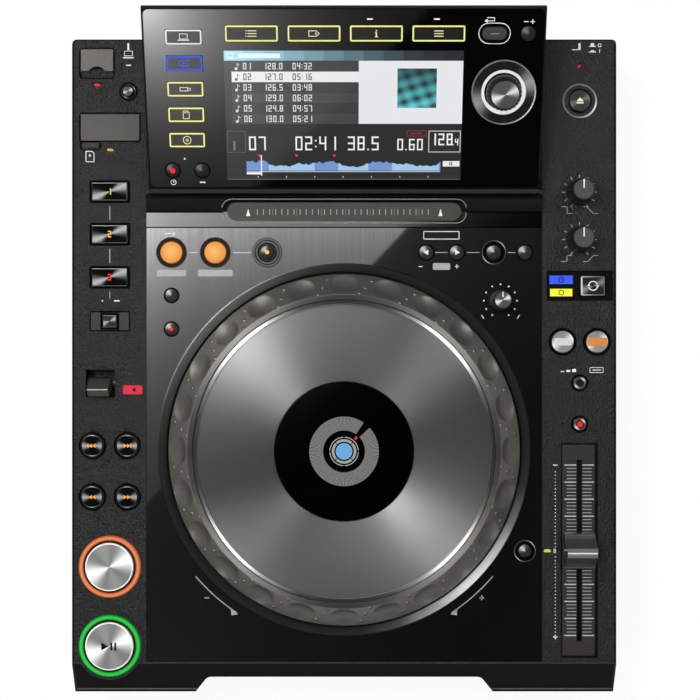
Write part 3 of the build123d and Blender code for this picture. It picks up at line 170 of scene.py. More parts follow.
def block(name, outline, levels, centre, place=upright):
    """An outline stacked at levels of (outset, height) and closed by a point at each end."""
    normal = outward(outline)
    out, z = np.array(levels, float).T
    rows = outline[None] + normal[None] * out[:, None, None]
    inner = np.linspace(0.8, 0, 5)[:, None, None]
    rows = np.concatenate([rows[:1] * 0, rows, rows[-1:] * inner])
    z = np.concatenate([z[:1], z, z[-1:].repeat(5)])[:, None, None]
    points = np.concatenate([rows, np.broadcast_to(z, rows.shape[:2] + (1,))], -1)
    return surface(name, place(points, centre), polar=rows)


def rail(name, outline, section, centre, place=upright):
    """A closed section of (outset, height) points carried round a closed outline."""
    normal = outward(outline)
    out, z = np.array(section, float).T
    flat = outline[None] + normal[None] * out[:, None, None]
    points = np.concatenate([flat, np.broadcast_to(z[:, None, None], flat.shape[:2] + (1,))], -1)
    return surface(name, place(points, centre))


def ring_section(inner, outer, low, high, break_edge=0.15):
    """Closed section of a flat ring with broken upper edges."""
    return [
        (inner, low), (outer, low), (outer, high - break_edge),
        (outer - break_edge, high), (inner + break_edge, high), (inner, high - break_edge),
        (inner, low),
    ]


# ---------------------------------------------------------------- flat marks, as arrays of quads
def bar(x0, y0, x1, y1):
    """One quad over a rectangle."""
    return np.array([[[x0, y0], [x1, y0], [x1, y1], [x0, y1]]], float)


def tri(a, b, c):
    """One quad whose last two corners meet."""
    return np.array([[a, b, c, c]], float)


def line(points, width):
    """Each run of a path as a quad, half the width to each side and past its ends."""
    p = np.array(points, float)
    a, b = p[:-1], p[1:]
    run = (b - a) / np.linalg.norm(b - a, axis=1, keepdims=True)
    side = np.stack([-run[:, 1], run[:, 0]], 1) * width / 2
    a, b = a - run * width / 2, b + run * width / 2
    return np.stack([a - side, b - side, b + side, a + side], 1)


def arc(x, y, inner, outer, start=0, stop=360, steps=32):
    """A ring or part of one as quads between two radii, degrees from +x."""
    t = np.radians(np.linspace(start, stop, steps + 1))
    unit = np.stack([np.cos(t), np.sin(t)], 1)
    near, far = unit * inner + [x, y], unit * outer + [x, y]
    return np.stack([near[:-1], far[:-1], far[1:], near[1:]], 1)


def frame_line(x0, y0, x1, y1, width):
    """Four bars round a rectangle."""
    return np.concatenate([
        bar(x0, y0, x1, y0 + width), bar(x0, y1 - width, x1, y1),
        bar(x0, y0 + width, x0 + width, y1 - width), bar(x1 - width, y0 + width, x1, y1 - width),
    ])


def plaque(x0, y0, x1, y1, radius):
    """A filled rectangle with round corners as quads between matching points of its long sides."""
    turn = np.linspace(0, pi / 2, 5)
    x = np.concatenate([x0 + radius * (1 - np.cos(turn)), x1 - radius * (1 - np.cos(turn[::-1]))])
    rise = np.concatenate([radius * (1 - np.sin(turn)), radius * (1 - np.sin(turn[::-1]))])
    low = np.stack([x, y0 + rise], 1)
    high = np.stack([x, y1 - rise], 1)
    return np.stack([low[:-1], low[1:], high[1:], high[:-1]], 1)


SEGMENTS = {
    "0": "abcdef", "1": "bc", "2": "abged", "3": "abgcd", "4": "fgbc", "5": "afgcd",
    "6": "afgedc", "7": "abc", "8": "abcdefg", "9": "abcdfg", "-": "g",
}


def digits(text, x, y, height, weight=0.13):
    """Numerals from seven straight segments each, x and y at the lower left corner."""
    wide, gap = height * 0.5, height * 0.2
    t = height * weight
    runs = {
        "a": bar(0, height - t, wide, height), "d": bar(0, 0, wide, t),
        "g": bar(0, (height - t) / 2, wide, (height + t) / 2),
        "b": bar(wide - t, height / 2, wide, height), "c": bar(wide - t, 0, wide, height / 2),
        "e": bar(0, 0, t, height / 2), "f": bar(0, height / 2, t, height),
    }
    quads = []
    for letter in text:
        if letter == ".":
            quads.append(bar(0, 0, t, t) + [x, y])
            x += t + gap
        elif letter == ":":
            quads.append(bar(0, height * 0.22, t, height * 0.22 + t) + [x, y])
            quads.append(bar(0, height * 0.64, t, height * 0.64 + t) + [x, y])
            x += t + gap
        else:
            quads += [runs[s] + [x, y] for s in SEGMENTS[letter]]
            x += wide + gap
    return np.concatenate(quads)


def layer(quads, height):
    """Lifts flat quads to a height."""
    quads = np.asarray(quads, float)
    return np.concatenate([quads, np.full(quads.shape[:2] + (1,), height)], -1)


def linear(code):
    """A written sRGB colour as linear values."""
    c = np.array([int(code[k:k + 2], 16) for k in (0, 2, 4)]) / 255
    return tuple(np.where(c <= 0.04045, c / 12.92, ((c + 0.055) / 1.055) ** 2.4))


def marks(name, quads, centre, material, body, place=upright, tints=None, on=None, thick=0.02):
    """Thin closed plates over flat quads, with one tint each where they have their own."""
    quads = np.asarray(quads, float)
    count = len(quads)
    top = place(quads, centre)
    a, b, c = top[:, 0], top[:, 1], top[:, 2]
    normal = np.cross(b - a, c - a)
    normal /= np.linalg.norm(normal, axis=1, keepdims=True)
    ground = place(np.array([[0, 0, 0.0], [0, 0, 1.0]]), (0, 0, 0))
    up = (ground[1] - ground[0])
    flip = (normal @ up) < 0
    top[flip] = top[flip][:, ::-1]
    foot = top - up * thick
    points = np.concatenate([top, foot], 1).reshape(-1, 3)
    base = (np.arange(count) * 8)[:, None]
    sides = [[0, 1, 2, 3], [7, 6, 5, 4], [1, 0, 4, 5], [2, 1, 5, 6], [3, 2, 6, 7], [0, 3, 7, 4]]
    faces = (base[:, :, None] + np.array(sides)[None]).reshape(-1, 4)
    mesh = bpy.data.meshes.new(name)
    mesh.from_pydata((points * MM).tolist(), [], faces.tolist())
    if tints is not None:
        tint = mesh.attributes.new("tint", "FLOAT_COLOR", "CORNER")
        colour = np.concatenate([np.asarray(tints, float), np.ones((count, 1))], 1)
        tint.data.foreach_set("color", np.repeat(colour, 24, axis=0).ravel().astype(np.float32))
    piece = finish_mesh(name, mesh, 30, False)
    return dress(piece, material, body, on=on)


# ---------------------------------------------------------------- finishes
def shader_of(material):
    """The shader node that a finish sets."""
    return material.node_tree.nodes["Principled BSDF"]


def finish(name, colour, rough, metal=0.0, sockets=()):
    """A surface with its plain values set on the shader's own sockets."""
    material = bpy.data.materials.new(name)
    material.use_nodes = True
    shader = shader_of(material)
    shader.inputs["Base Color"].default_value = (*colour, 1)
    shader.inputs["Roughness"].default_value = rough
    shader.inputs["Metallic"].default_value = metal
    for socket, value in dict(sockets).items():
        shader.inputs[socket].default_value = value
    return material


def pattern(material, source, scale, turn=(0, 0, 0), shift=(0, 0, 0), detail=3.0):
    """Noise on the object's own coordinates or on the piece's map; returns its strength."""
    tree = material.node_tree
    coordinate = tree.nodes.new("ShaderNodeTexCoord")
    mapping = tree.nodes.new("ShaderNodeMapping")
    mapping.inputs["Scale"].default_value = scale
    mapping.inputs["Rotation"].default_value = turn
    mapping.inputs["Location"].default_value = shift
    noise = tree.nodes.new("ShaderNodeTexNoise")
    noise.inputs["Scale"].default_value = 1.0
    noise.inputs["Detail"].default_value = detail
    tree.links.new(coordinate.outputs[source], mapping.inputs["Vector"])
    tree.links.new(mapping.outputs["Vector"], noise.inputs["Vector"])
    return noise.outputs["Fac"]


def tint_by(material, strength, dark, light, socket="Base Color", low=0.3, high=0.7):
    """Colour that runs from dark to light with a pattern's strength."""
    tree = material.node_tree
    ramp = tree.nodes.new("ShaderNodeValToRGB")
    ramp.color_ramp.elements[0].position = low
    ramp.color_ramp.elements[1].position = high
    ramp.color_ramp.elements[0].color = (*dark, 1)
    ramp.color_ramp.elements[1].color = (*light, 1)
    tree.links.new(strength, ramp.inputs["Fac"])
    tree.links.new(ramp.outputs["Color"], shader_of(material).inputs[socket])


def rough_by(material, strength, smooth, dull):
    """Roughness that runs between two values with a pattern's strength."""
    tree = material.node_tree
    span = tree.nodes.new("ShaderNodeMapRange")
    span.inputs["To Min"].default_value = smooth
    span.inputs["To Max"].default_value = dull
    tree.links.new(strength, span.inputs["Value"])
    tree.links.new(span.outputs["Result"], shader_of(material).inputs["Roughness"])


def bump_by(material, strength, height, distance=0.0002):
    """Relief from a pattern, on the surface under any coat."""
    tree = material.node_tree
    bump = tree.nodes.new("ShaderNodeBump")
    bump.inputs["Strength"].default_value = height
    bump.inputs["Distance"].default_value = distance
    tree.links.new(strength, bump.inputs["Height"])
    tree.links.new(bump.outputs["Normal"], shader_of(material).inputs["Normal"])


def shade(colour, share):
    """A colour made darker or lighter by a share."""
    return tuple(c * share for c in colour)


def grained(name, colour, rough, metal=0.0, scale=(900, 900, 900), tint=0.12, dull=0.08,
            relief=0.1, source="Object", turn=(0, 0, 0), sockets=()):
    """A finish whose colour, roughness and relief follow one fine grain."""
    material = finish(name, colour, rough, metal, sockets)
    strength = pattern(material, source, scale, turn)
    tint_by(material, strength, shade(colour, 1 - tint), shade(colour, 1 + tint))
    rough_by(material, strength, rough - dull, rough + dull)
    if relief:
        bump_by(material, strength, relief)
    return material


def brush_coat(material, thin, thick):
    """The hard coat over a brushed sheet follows the strokes: its weight runs with the grain."""
    tree = material.node_tree
    strokes_ = pattern(material, "Object", (1700, 9, 30), detail=2.0)
    span = tree.nodes.new("ShaderNodeMapRange")
    span.inputs["From Min"].default_value = 0.35
    span.inputs["From Max"].default_value = 0.65
    span.inputs["To Min"].default_value = thin
    span.inputs["To Max"].default_value = thick
    tree.links.new(strokes_, span.inputs["Value"])
    tree.links.new(span.outputs["Result"], shader_of(material).inputs["Coat Weight"])


def spun(name, colour, rough, pull=0.75, tint=0.18, pitch=260.0, metal=1.0, sockets=()):
    """Lathe-turned metal: grain in rings by the map's radius, highlights drawn out along it."""
    material = finish(name, colour, rough, metal,
                      {"Anisotropic": pull, "Anisotropic Rotation": 0.25, **dict(sockets)})
    tree = material.node_tree
    tangent = tree.nodes.new("ShaderNodeTangent")
    tangent.direction_type = "UV_MAP"
    tangent.uv_map = "round"
    tree.links.new(tangent.outputs["Tangent"], shader_of(material).inputs["Tangent"])
    strength = pattern(material, "UV", (0.0, pitch, 0.0), detail=2.0)
    tint_by(material, strength, shade(colour, 1 - tint), shade(colour, 1 + tint))
    rough_by(material, strength, rough - 0.05, rough + 0.05)
    return material


def glints(low, *lobes):
    """Painted highlights on turned metal, by angle: a low grey all round, with a bell-shaped painted
    glint added at each (angle, height, half width), so each stop is low + sum of height * exp(-(away /
    width)^2)."""
    angles = np.arange(0.0, 360.0, 12.0)
    grey = np.full(angles.shape, float(low))
    for centre, height, width in lobes:
        away = (angles - centre + 180.0) % 360.0 - 180.0
        grey = grey + height * np.exp(-(away / width) ** 2)
    return list(zip(angles.tolist(), np.clip(grey, 0.0, 1.0).tolist()))


def bow(low, high, width, axis=22, cross=0.0):
    """A faced cap's two equal, opposite painted highlights, and a fainter painted pair across them."""
    return glints(low, (axis, high, width), (axis + 180, high, width),
                  (axis + 90, cross, width), (axis + 270, cross, width))


def corners(low, high, width):
    """A sloping ring's four equal painted highlights, one towards each corner lamp."""
    return glints(low, *((angle, high, width) for angle in (45, 135, 225, 315)))


def glint_painted_metal(name, stops, tone=(1.0, 1.0, 0.98), rough=0.4, metal=0.1, pitch=600.0, grain=0.12):
    """Turned metal with painted highlights: its colour changes with the angle, a ramp over the map's
    turns that stands in for the lamps' reflections, times fine rings by its radius."""
    material = finish(name, shade(tone, 0.2), rough, metal,
                      {"Anisotropic": 0.6, "Anisotropic Rotation": 0.25, "Specular IOR Level": 0.01})
    tree = material.node_tree
    tangent = tree.nodes.new("ShaderNodeTangent")
    tangent.direction_type = "UV_MAP"
    tangent.uv_map = "round"
    tree.links.new(tangent.outputs["Tangent"], shader_of(material).inputs["Tangent"])
    strength = pattern(material, "UV", (0.0, pitch, 0.0), detail=2.0)
    tint_by(material, strength, shade(tone, 1 - grain), shade(tone, 1.0))
    rings = shader_of(material).inputs["Base Color"].links[0].from_socket
    place = tree.nodes.new("ShaderNodeTexCoord")
    split = tree.nodes.new("ShaderNodeSeparateXYZ")
    turns = tree.nodes.new("ShaderNodeMath")
    turns.operation = "FRACT"
    ramp = tree.nodes.new("ShaderNodeValToRGB")
    while len(ramp.color_ramp.elements) < len(stops) + 1:
        ramp.color_ramp.elements.new(0.5)
    for element, (angle, grey) in zip(ramp.color_ramp.elements, [*stops, (360, stops[0][1])]):
        element.position = angle / 360
        element.color = (grey, grey, grey, 1)
    both = tree.nodes.new("ShaderNodeMix")
    both.data_type = "RGBA"
    both.blend_type = "MULTIPLY"
    both.inputs["Factor"].default_value = 1.0
    tree.links.new(place.outputs["UV"], split.inputs[0])
    tree.links.new(split.outputs["X"], turns.inputs[0])
    tree.links.new(turns.outputs[0], ramp.inputs["Fac"])
    tree.links.new(rings, both.inputs[6])
    tree.links.new(ramp.outputs["Color"], both.inputs[7])
    tree.links.new(both.outputs[2], shader_of(material).inputs["Base Color"])
    return material


def banded(name, zones, low, high, rough=0.3):
    """A moulding with colours in bands along y, some of them painted shade and highlight: each zone is
    its start, colour, metal and roughness.
    """
    material = finish(name, zones[0][1], rough, 0.0, {"Specular IOR Level": 0.04})
    tree = material.node_tree
    place = tree.nodes.new("ShaderNodeTexCoord")
    split = tree.nodes.new("ShaderNodeSeparateXYZ")
    span = tree.nodes.new("ShaderNodeMapRange")
    span.inputs["From Min"].default_value = low * MM
    span.inputs["From Max"].default_value = high * MM
    tree.links.new(place.outputs["Object"], split.inputs[0])
    tree.links.new(split.outputs["Y"], span.inputs["Value"])
    for socket, pick in (("Base Color", lambda zone: (*zone[1], 1)),
                         ("Metallic", lambda zone: (zone[2], zone[2], zone[2], 1)),
                         ("Roughness", lambda zone: (zone[3], zone[3], zone[3], 1))):
        ramp = tree.nodes.new("ShaderNodeValToRGB")
        ramp.color_ramp.interpolation = "CONSTANT"
        while len(ramp.color_ramp.elements) < len(zones):
            ramp.color_ramp.elements.new(0.5)
        for element, zone in zip(ramp.color_ramp.elements, zones):
            element.position = (zone[0] - low) / (high - low)
            element.color = pick(zone)
        tree.links.new(span.outputs["Result"], ramp.inputs["Fac"])
        tree.links.new(ramp.outputs["Color"], shader_of(material).inputs[socket])
    return material


def fading(name, codes, reach, rough=0.4, base=0.1, strength=1.0, positions=None):
    """A lit plastic whose glow runs from colour to colour with the distance from its middle."""
    colours = [linear(code) for code in codes]
    material = finish(name, shade(colours[0], base), rough, 0.0,
                      {"Emission Strength": strength, "Specular IOR Level": 0.15})
    tree = material.node_tree
    map_node = tree.nodes.new("ShaderNodeTexCoord")
    split = tree.nodes.new("ShaderNodeSeparateXYZ")
    share = tree.nodes.new("ShaderNodeMath")
    share.operation = "MULTIPLY"
    share.inputs[1].default_value = 100.0 / reach
    ramp = tree.nodes.new("ShaderNodeValToRGB")
    spots = positions or np.linspace(0, 1, len(colours)).tolist()
    while len(ramp.color_ramp.elements) < len(colours):
        ramp.color_ramp.elements.new(0.5)
    for element, spot, colour in zip(ramp.color_ramp.elements, spots, colours):
        element.position = spot
        element.color = (*colour, 1)
    tree.links.new(map_node.outputs["UV"], split.inputs[0])
    tree.links.new(split.outputs["Y"], share.inputs[0])
    tree.links.new(share.outputs[0], ramp.inputs["Fac"])
    tree.links.new(ramp.outputs["Color"], shader_of(material).inputs["Emission Color"])
    return material


def painted(name, rough, base=0.02, strength=1.0):
    """A lit skin that takes its glow from each plate's own tint."""
    material = finish(name, (base, base, base), rough, 0.0, {"Emission Strength": strength})
    tree = material.node_tree
    tint = tree.nodes.new("ShaderNodeAttribute")
    tint.attribute_name = "tint"
    tree.links.new(tint.outputs["Color"], shader_of(material).inputs["Emission Color"])
    return material


def glowing(name, code, strength=1.0, base=0.12):
    """A lit plastic: its colour glows with faint clouds, under a smooth skin."""
    colour = linear(code)
    material = finish(name, shade(colour, base), 0.4, 0.0,
                      {"Emission Strength": strength, "Specular IOR Level": 0.1})
    cloud = pattern(material, "Object", (260, 260, 260), detail=1.0)
    tint_by(material, cloud, shade(colour, 0.9), colour, "Emission Color")
    return material


def dress(piece, material, body, *stands_for, on=None):
    """Gives a piece its finish and body, and the solids that it stands for. The solid that it sits on
    (on) is not used.
    """
    piece.data.materials.clear()
    piece.data.materials.append(material)
    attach(piece, body)
    if stands_for:
        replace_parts(piece, *stands_for)
    return piece


def dress_node(name, material):
    """A solid keeps its shape and gets its finish."""
    nodes[name].data.materials.clear()
    nodes[name].data.materials.append(material)


case_plastic = grained("case_plastic", (0.005, 0.005, 0.0052), 0.42, scale=(1000, 760, 900),
                       tint=0.7, dull=0.25, relief=0.0, turn=(0, 0, radians(38)),
                       sockets={"Specular IOR Level": 0.23})
bump_by(case_plastic, pattern(case_plastic, "Object", (820, 600, 800), (0, 0, radians(38))),
        1.0, 0.001)
groove_black = grained("groove_black", (0.0016, 0.0016, 0.0016), 0.6, scale=(300, 300, 300),
                       tint=0.2, dull=0.05, relief=0.0, sockets={"Specular IOR Level": 0.008})
# The housing's bands: the silver lip and the black face are its own colours; the darker steps on the
# wedge behind the lip are painted shade, and the lighter band from 91 mm is a painted highlight on the
# ridge.
housing_bands_and_painted_light = banded("housing_bands_and_painted_light", (
    (70.0, (0.03, 0.03, 0.03), 1.0, 0.12), (80.75, (0.006, 0.006, 0.005), 0.0, 0.6),
    (88.0, (0.001, 0.001, 0.001), 0.0, 0.6), (91.0, (0.03, 0.03, 0.025), 0.0, 0.6),
    (93.0, (0.002, 0.002, 0.002), 0.0, 0.3), (98.0, (0.006, 0.006, 0.006), 0.0, 0.35),
), 70.0, 200.0)
deck_sheet = grained("deck_sheet", (0.003, 0.003, 0.0031), 0.3, 0.5, scale=(2600, 14, 30),
                     tint=0.45, dull=0.07, relief=0.15,
                     sockets={"Coat Weight": 1.0, "Coat Roughness": 0.03,
                              "Specular IOR Level": 0.15})
brush_coat(deck_sheet, 0.78, 1.0)
display_face = grained("display_face", (0.0012, 0.0012, 0.0014), 0.04, scale=(120, 120, 120),
                       tint=0.2, dull=0.01, relief=0.0, sockets={"IOR": 1.5})
needle_finish = grained("needle_satin", (0.04, 0.038, 0.032), 0.45, relief=0.05,
                        sockets={"Specular IOR Level": 0.12})
fader_finish = grained("fader_satin", (0.022, 0.021, 0.0185), 0.45, relief=0.05,
                       sockets={"Specular IOR Level": 0.12})
dial_finish = grained("dial_satin", (0.165, 0.162, 0.145), 0.42, 0.8, scale=(700, 700, 700),
                      tint=0.08, dull=0.02, relief=0.0)
bump_finish = grained("dial_bump", (0.15, 0.146, 0.126), 0.25, 0.8, relief=0.0)
platter_metal = spun("platter_metal", (0.12, 0.12, 0.121), 0.345, 0.97, tint=0.1, metal=0.8)
knob_black = grained("knob_black", (0.01, 0.01, 0.01), 0.38, relief=0.1,
                     sockets={"Specular IOR Level": 0.15})
knob_grey = grained("knob_grey", (0.045, 0.045, 0.042), 0.5, relief=0.2,
                    sockets={"Specular IOR Level": 0.15})
ring_olive = grained("ring_olive", (0.075, 0.073, 0.064), 0.5, relief=0.05,
                     sockets={"Specular IOR Level": 0.03})
ring_brown = grained("ring_brown", (0.016, 0.011, 0.009), 0.5, relief=0.05,
                     sockets={"Specular IOR Level": 0.02})
window_face = grained("window_face", (0.0006, 0.0006, 0.0007), 0.12, scale=(120, 120, 120),
                      tint=0.2, dull=0.01, relief=0.0, sockets={"Specular IOR Level": 0.03})
key_black = grained("key_black", (0.006, 0.006, 0.0065), 0.22, relief=0.05)
key_pearl = grained("key_pearl", (0.035, 0.035, 0.033), 0.45, relief=0.03,
                    sockets={"Specular IOR Level": 0.1})
# The finishes from here to edge_silver carry painted highlights: their colour is brighter in sectors by
# angle, standing in for the lamps' reflections; dome_pearl and dim_dome paint one highlight at the upper
# left, and edge_silver is an even pale tone, a painted highlight all round a bright edge.
cap_metal = glint_painted_metal("cap_metal", bow(0.12, 0.7, 28, cross=0.1), pitch=420.0)
cue_metal = glint_painted_metal("cue_metal", bow(0.002, 0.35, 16), metal=0.0, rough=0.6)
track_metal = glint_painted_metal("track_metal", bow(0.002, 0.3, 18, axis=0),
    metal=0.0, rough=0.6)
dome_pearl = glint_painted_metal("dome_pearl", glints(0.025, (135, 0.4, 36)), rough=0.5, grain=0.03)
dim_dome = glint_painted_metal("dim_dome", glints(0.016, (135, 0.1, 34)),
    rough=0.5, grain=0.03)
rec_metal = glint_painted_metal("rec_metal", bow(0.02, 0.3, 20))
stop_metal = glint_painted_metal("stop_metal", bow(0.06, 0.4, 20))
sync_metal = glint_painted_metal("sync_metal", bow(0.2, 0.5, 28))
eject_metal = glint_painted_metal("eject_metal", bow(0.035, 0.1, 18), tone=(1.0, 0.98, 0.9))
range_metal = glint_painted_metal("range_metal", bow(0.05, 0.5, 26, axis=45))
crescent_metal = glint_painted_metal("crescent_metal", bow(0.015, 0.3, 18, axis=90))
bezel_metal = glint_painted_metal("bezel_metal", bow(0.01, 0.25, 18))
face_metal = glint_painted_metal("face_metal", bow(0.06, 0.6, 20))
chamfer_metal = glint_painted_metal("chamfer_metal", corners(0.06, 0.9, 16), rough=0.28, metal=0.6)
rim_metal = glint_painted_metal("rim_metal", corners(0.03, 0.2, 20),
    tone=(1.0, 0.97, 0.92))
seam_metal = glint_painted_metal("seam_metal", glints(0.006, (135, 0.45, 24)))
flange_painted_glint = glint_painted_metal("flange_painted_glint", glints(0.015, (135, 0.08, 28), (315, 0.6, 16)), rough=0.45)
mode_metal = glint_painted_metal("mode_metal", bow(0.015, 0.18, 18))
mode_edge = glint_painted_metal("mode_edge", glints(0.12, (180, 0.5, 70)))
ejector_rim = glint_painted_metal("ejector_rim", glints(0.15, (330, 0.5, 40)), tone=(1.0, 0.98, 0.88))
edge_silver = glint_painted_metal("edge_silver", glints(0.8), rough=0.5)
well_finish = grained("well_satin", (0.05, 0.05, 0.052), 0.35, 0.5, relief=0.1)
door_plastic = grained("door_plastic", (0.1, 0.097, 0.086), 0.5, relief=0.15,
                       sockets={"Specular IOR Level": 0.12})
card_plastic = grained("card_plastic", (0.062, 0.06, 0.053), 0.5, relief=0.15,
                       sockets={"Specular IOR Level": 0.12})
slider_plastic = grained("slider_plastic", (0.03, 0.03, 0.029), 0.32, relief=0.05)
lever_plastic = grained("lever_plastic", (0.03, 0.029, 0.025), 0.35, relief=0.1)
# A lighter copy of the lever's plastic, used only as a painted highlight on its front face.
painted_lever_light = grained("painted_lever_light", (0.075, 0.073, 0.063), 0.5, relief=0.0,
                      sockets={"Specular IOR Level": 0.05})
foot_rubber = grained("foot_rubber", (0.02, 0.02, 0.02), 0.75, relief=0.4)
base_steel = grained("base_steel", (0.35, 0.35, 0.36), 0.4, 0.9, scale=(200, 200, 200), relief=0.1)
board_green = grained("board_green", (0.003, 0.012, 0.006), 0.4, scale=(300, 300, 300))
drive_steel = grained("drive_steel", (0.4, 0.4, 0.41), 0.45, 0.9, relief=0.1)
socket_metal = grained("socket_metal", (0.2, 0.2, 0.21), 0.35, 0.7, relief=0.05)
screen_back = grained("screen_back", (0.05, 0.05, 0.055), 0.5)
white_print = grained("white_print", (0.6, 0.6, 0.58), 0.5, relief=0.0, tint=0.05)
# Grey for prints, and for painted highlights on the hot cue keys and the lever's crest.
grey_print_and_highlight = grained("grey_print_and_highlight", (0.24, 0.24, 0.23), 0.5, relief=0.0, tint=0.05)
# Black for prints, and for painted shade on the case's edges and beside the fader plate.
dark_print_and_shade = grained("dark_print_and_shade", (0.0025, 0.0025, 0.0025), 0.6, relief=0.0, tint=0.05,
                     sockets={"Specular IOR Level": 0.04})
# A darker, duller skin for the apron: painted shade.
apron_shade_skin = grained("apron_shade_skin", (0.0042, 0.0042, 0.0042), 0.5, scale=(1100, 850, 900),
                      relief=0.5, sockets={"Specular IOR Level": 0.1})
olive_print = grained("olive_print", (0.038, 0.036, 0.029), 0.6, relief=0.0, tint=0.2,
                      sockets={"Specular IOR Level": 0.06})
# Grey for the painted highlight round the needle channel.
channel_edge_highlight = grained("channel_edge_highlight", (0.16, 0.158, 0.15), 0.5, relief=0.0, tint=0.1,
                     sockets={"Specular IOR Level": 0.2})
soft_print = grained("soft_print", (0.38, 0.38, 0.37), 0.5, relief=0.0, tint=0.05)
# Grey used only for painted sheen and highlights.
sheen_highlight_grey = grained("sheen_highlight_grey", (0.1, 0.1, 0.098), 0.5, relief=0.0, tint=0.1,
                    sockets={"Specular IOR Level": 0.2})
# Grey for the painted highlight along the deck's front edge.
front_edge_highlight = grained("front_edge_highlight", (0.045, 0.045, 0.045), 0.4, relief=0.0, tint=0.05)
red_print = grained("red_print", (0.5, 0.022, 0.042), 0.5, relief=0.0, tint=0.05,
                    sockets={"Specular IOR Level": 0.06})
loop_glow = fading("loop_glow", ("f0c060", "f09040", "402008"), 6.6,
                   positions=[0.0, 0.9, 1.0], strength=0.85)
orange_light = fading("orange_light", ("a05028", "ff9058", "a05028"), 18.2,
                      positions=[0.84, 0.92, 1.0], strength=0.9)
green_light = fading("green_light", ("108028", "20e048", "108028"), 18.2,
                     positions=[0.84, 0.92, 1.0], strength=0.85)
orange_mark = glowing("orange_mark", "ffa030", 1.0)
white_light = glowing("white_light", "e8eae6", 0.9)
yellow_light = glowing("yellow_light", "ecea8c", 1.0)
pale_light = glowing("pale_light", "f2f0c0", 0.9)
blue_light = glowing("blue_light", "3f5cf0", 1.0)
red_light = glowing("red_light", "ff2018", 1.0)
dull_red = glowing("dull_red", "c82838", 0.8)
lime_light = glowing("lime_light", "cccc4c", 0.95)
amber_light = glowing("amber_light", "ffb838", 1.0)
card_light = glowing("card_light", "dca83c", 0.9)
chip_blue = glowing("chip_blue", "3c5cf0", 0.95)
chip_yellow = glowing("chip_yellow", "f0f03c", 0.95)
chip_white = glowing("chip_white", "dcdcd6", 0.8)
chip_orange = glowing("chip_orange", "dc9048", 0.8)
screen_glow = painted("screen_glow", 0.04)

for node_name, material in (
    ("upper_case", case_plastic), ("deck_panel", deck_sheet), ("front_panel", case_plastic),
    ("bottom_plate", base_steel), ("rubber_feet", foot_rubber), ("display_housing", housing_bands_and_painted_light),
    ("display_glass", display_face), ("lcd_module", screen_back), ("needle_pad", needle_finish),
    ("main_board", board_green), ("drive_unit", drive_steel), ("sockets", socket_metal),
    ("fader_plate", fader_finish), ("usb_door", door_plastic), ("sd_door", card_plastic),
    ("direction_lever", lever_plastic), ("power_button", key_black),
    ("source_keys", key_black), ("browse_keys", key_black), ("selector_shaft", key_black),
):
    dress_node(node_name, material)


# ---------------------------------------------------------------- jog wheel
def dial_surface():
    """The dial's profile turned about the post. On the slope each point sinks by a round dish:
    the depth times one less the square of its distance from the nearest dimple's middle."""
    around = dimple_count * 40
    slope_steps = 50
    t = np.linspace(0, 1, slope_steps)
    foot, head = np.array(slope_foot), np.array(slope_head)
    slope = foot + (head - foot) * t[:, None]
    length = np.linalg.norm(head - foot)
    normal = np.array([head[1] - foot[1], foot[0] - head[0]]) / length
    before = np.array([[15.06, 53.8], [20.0, 53.8], [20.0, 69.6], [88.4, 69.6], [99.8, 58.0],
                       [102.6, 58.0], [103.0, 58.4], [103.0, 64.7]])
    after = np.array([[90.5, 77.6], [88.0, 77.6], [rim_inner, 77.2], [rim_inner, 72.0],
                      [15.06, 72.0], [15.06, 53.8]])
    r = np.concatenate([before[:, 0], slope[:, 0], after[:, 0]])
    z = np.concatenate([before[:, 1], slope[:, 1], after[:, 1]])
    along = np.full(len(r), 1e3)
    along[len(before):len(before) + slope_steps] = (t - 0.5) * length
    angle = np.linspace(0, 2 * pi, around, endpoint=False)[None, :]
    pitch = 2 * pi / dimple_count
    off = (angle + pitch / 2) % pitch - pitch / 2
    distance = np.hypot(off * r[:, None], along[:, None]) / dimple_radius
    sink = -dimple_depth * np.clip(1.0 - distance**2, 0, 1)
    radius = r[:, None] + normal[0] * sink
    height = z[:, None] + normal[1] * sink
    points = np.stack([radius * np.cos(angle), radius * np.sin(angle), height], -1)
    return surface("jog_dial", upright(points, (0, jog_y)), sharp=50)


